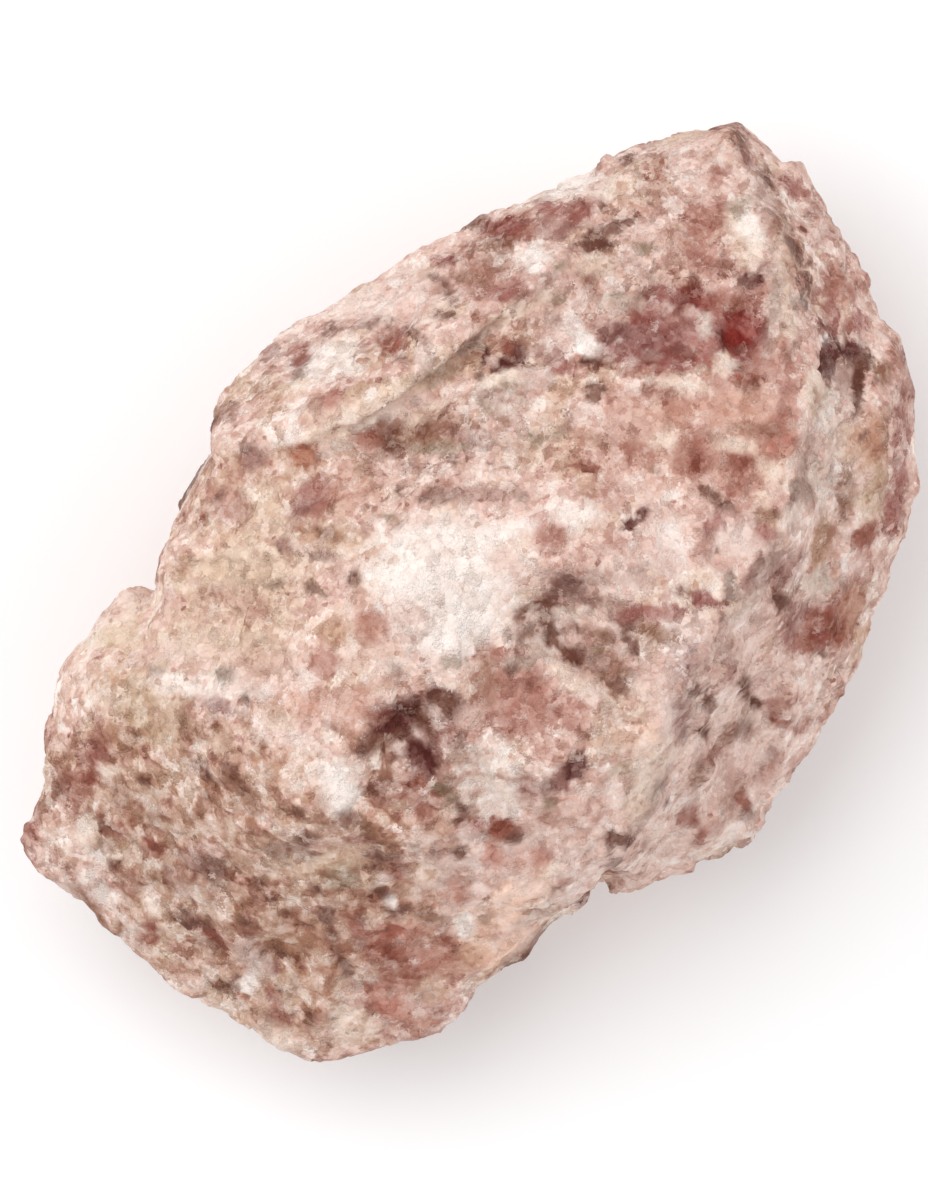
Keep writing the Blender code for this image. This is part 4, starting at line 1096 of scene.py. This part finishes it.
def rockMaterial():
    material = bpy.data.materials.new("rough aventurine")
    material.use_nodes = True
    tree = material.node_tree
    shader = tree.nodes["Principled BSDF"]
    shader.inputs["Specular IOR Level"].default_value = look["specular"]
    place = rockPlace(tree, node(tree, "ShaderNodeTexCoord").outputs["Object"])
    fine = centred(tree, noise(tree, place, look["fine"], rough=0.6))
    nudged = vectors(tree, "ADD", place, vectors(tree, "SCALE", (1, 1, 1), scale=fine))
    (crumbDark, crumbRagged, crumbLevel), crumbSlope = specks(tree, nudged, look["crumb"])
    (speckDark, speckRagged, speckRough), speckSlope = specks(tree, place, look["speck"])
    crumbTone = centred(tree, crumbDark)
    speckTone = centred(tree, speckDark)
    tone = total(tree, (
        (crumbTone, look["crumbTone"]), (speckTone, look["speckTone"]), (fine, look["fineTone"]),
        # pale specks: painted glints in place of sparkle; dark specks: dark flecks
        (spread(tree, speckRagged, *look["glintRange"]), -look["glintAndFleck"]),
        (spread(tree, speckRagged, *look["darkFleckRange"]), look["glintAndFleck"]),
    ))
    tone = maths(tree, "ADD", tone, painted(tree, "tone").outputs["Fac"])
    rusty = total(tree, ((crumbRagged, look["crumbRust"]), (painted(tree, "rust").outputs["Fac"], 1.0)))
    ground = mixed(tree, rusty, ramp(tree, tone, paleToDark), ramp(tree, tone, paleToRust))

    # the laid marks: their borders break up along the small grains
    laid = painted(tree, "laid")
    breakUp = total(tree, (
        (centred(tree, crumbRagged), look["crumbBreak"]),
        (centred(tree, speckRagged), look["speckBreak"]),
        (fine, look["fineBreak"]),
    ))
    share = laid.outputs["Alpha"]
    partly = maths(tree, "MULTIPLY", share, maths(tree, "SUBTRACT", 1.0, share))
    share = maths(tree, "MULTIPLY_ADD", partly, breakUp, share, clamp=True)
    hole = spread(tree, crumbLevel, *look["pinholeRange"], 0.0, look["pinhole"])
    share = maths(tree, "MULTIPLY", share, maths(tree, "SUBTRACT", 1.0, hole))

    # inside a mark the grains vary too, as a deeper or a fainter stain
    follows = maths(tree, "MULTIPLY_ADD", share, -look["laidOwn"], 1.0)
    above = maths(tree, "MULTIPLY", maths(tree, "SUBTRACT", tone, tones["middle"]), follows)
    darker = maths(tree, "MULTIPLY", above, look["laidDarken"], clamp=True)
    paler = maths(tree, "MULTIPLY", above, -1.0, clamp=True)
    deepened = node(tree, "ShaderNodeGamma")
    plug(tree, deepened.inputs["Color"], laid.outputs["Color"])
    plug(tree, deepened.inputs["Gamma"], maths(tree, "MULTIPLY_ADD", above, look["laidDeepen"], 1.0))
    varied = mixed(tree, darker, deepened.outputs["Color"], look["darkest"])
    varied = mixed(tree, maths(tree, "MULTIPLY", paler, look["laidLighten"]), varied, look["palest"])
    tree.links.new(mixed(tree, share, ground, varied), shader.inputs["Base Color"])
    rough = spread(tree, speckRough, *look["roughnessRange"], *look["roughness"])
    tree.links.new(rough, shader.inputs["Roughness"])

    bump = node(tree, "ShaderNodeBump")
    bump.inputs["Distance"].default_value = look["bump"]
    bump.inputs["Strength"].default_value = look["bumpStrength"]
    height = total(tree, (
        (fine, look["fineBump"]), (crumbLevel, look["crumbStep"]),
        (crumbSlope, look["crumbTilt"]), (speckSlope, look["speckTilt"]),
    ))
    tree.links.new(height, bump.inputs["Height"])
    tree.links.new(bump.outputs["Normal"], shader.inputs["Normal"])
    return material


stone = rockSkin(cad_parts["aventurine"])
stone.data.materials.clear()
stone.data.materials.append(rockMaterial())
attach(stone, "root")
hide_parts("aventurine")
print("rock ready")
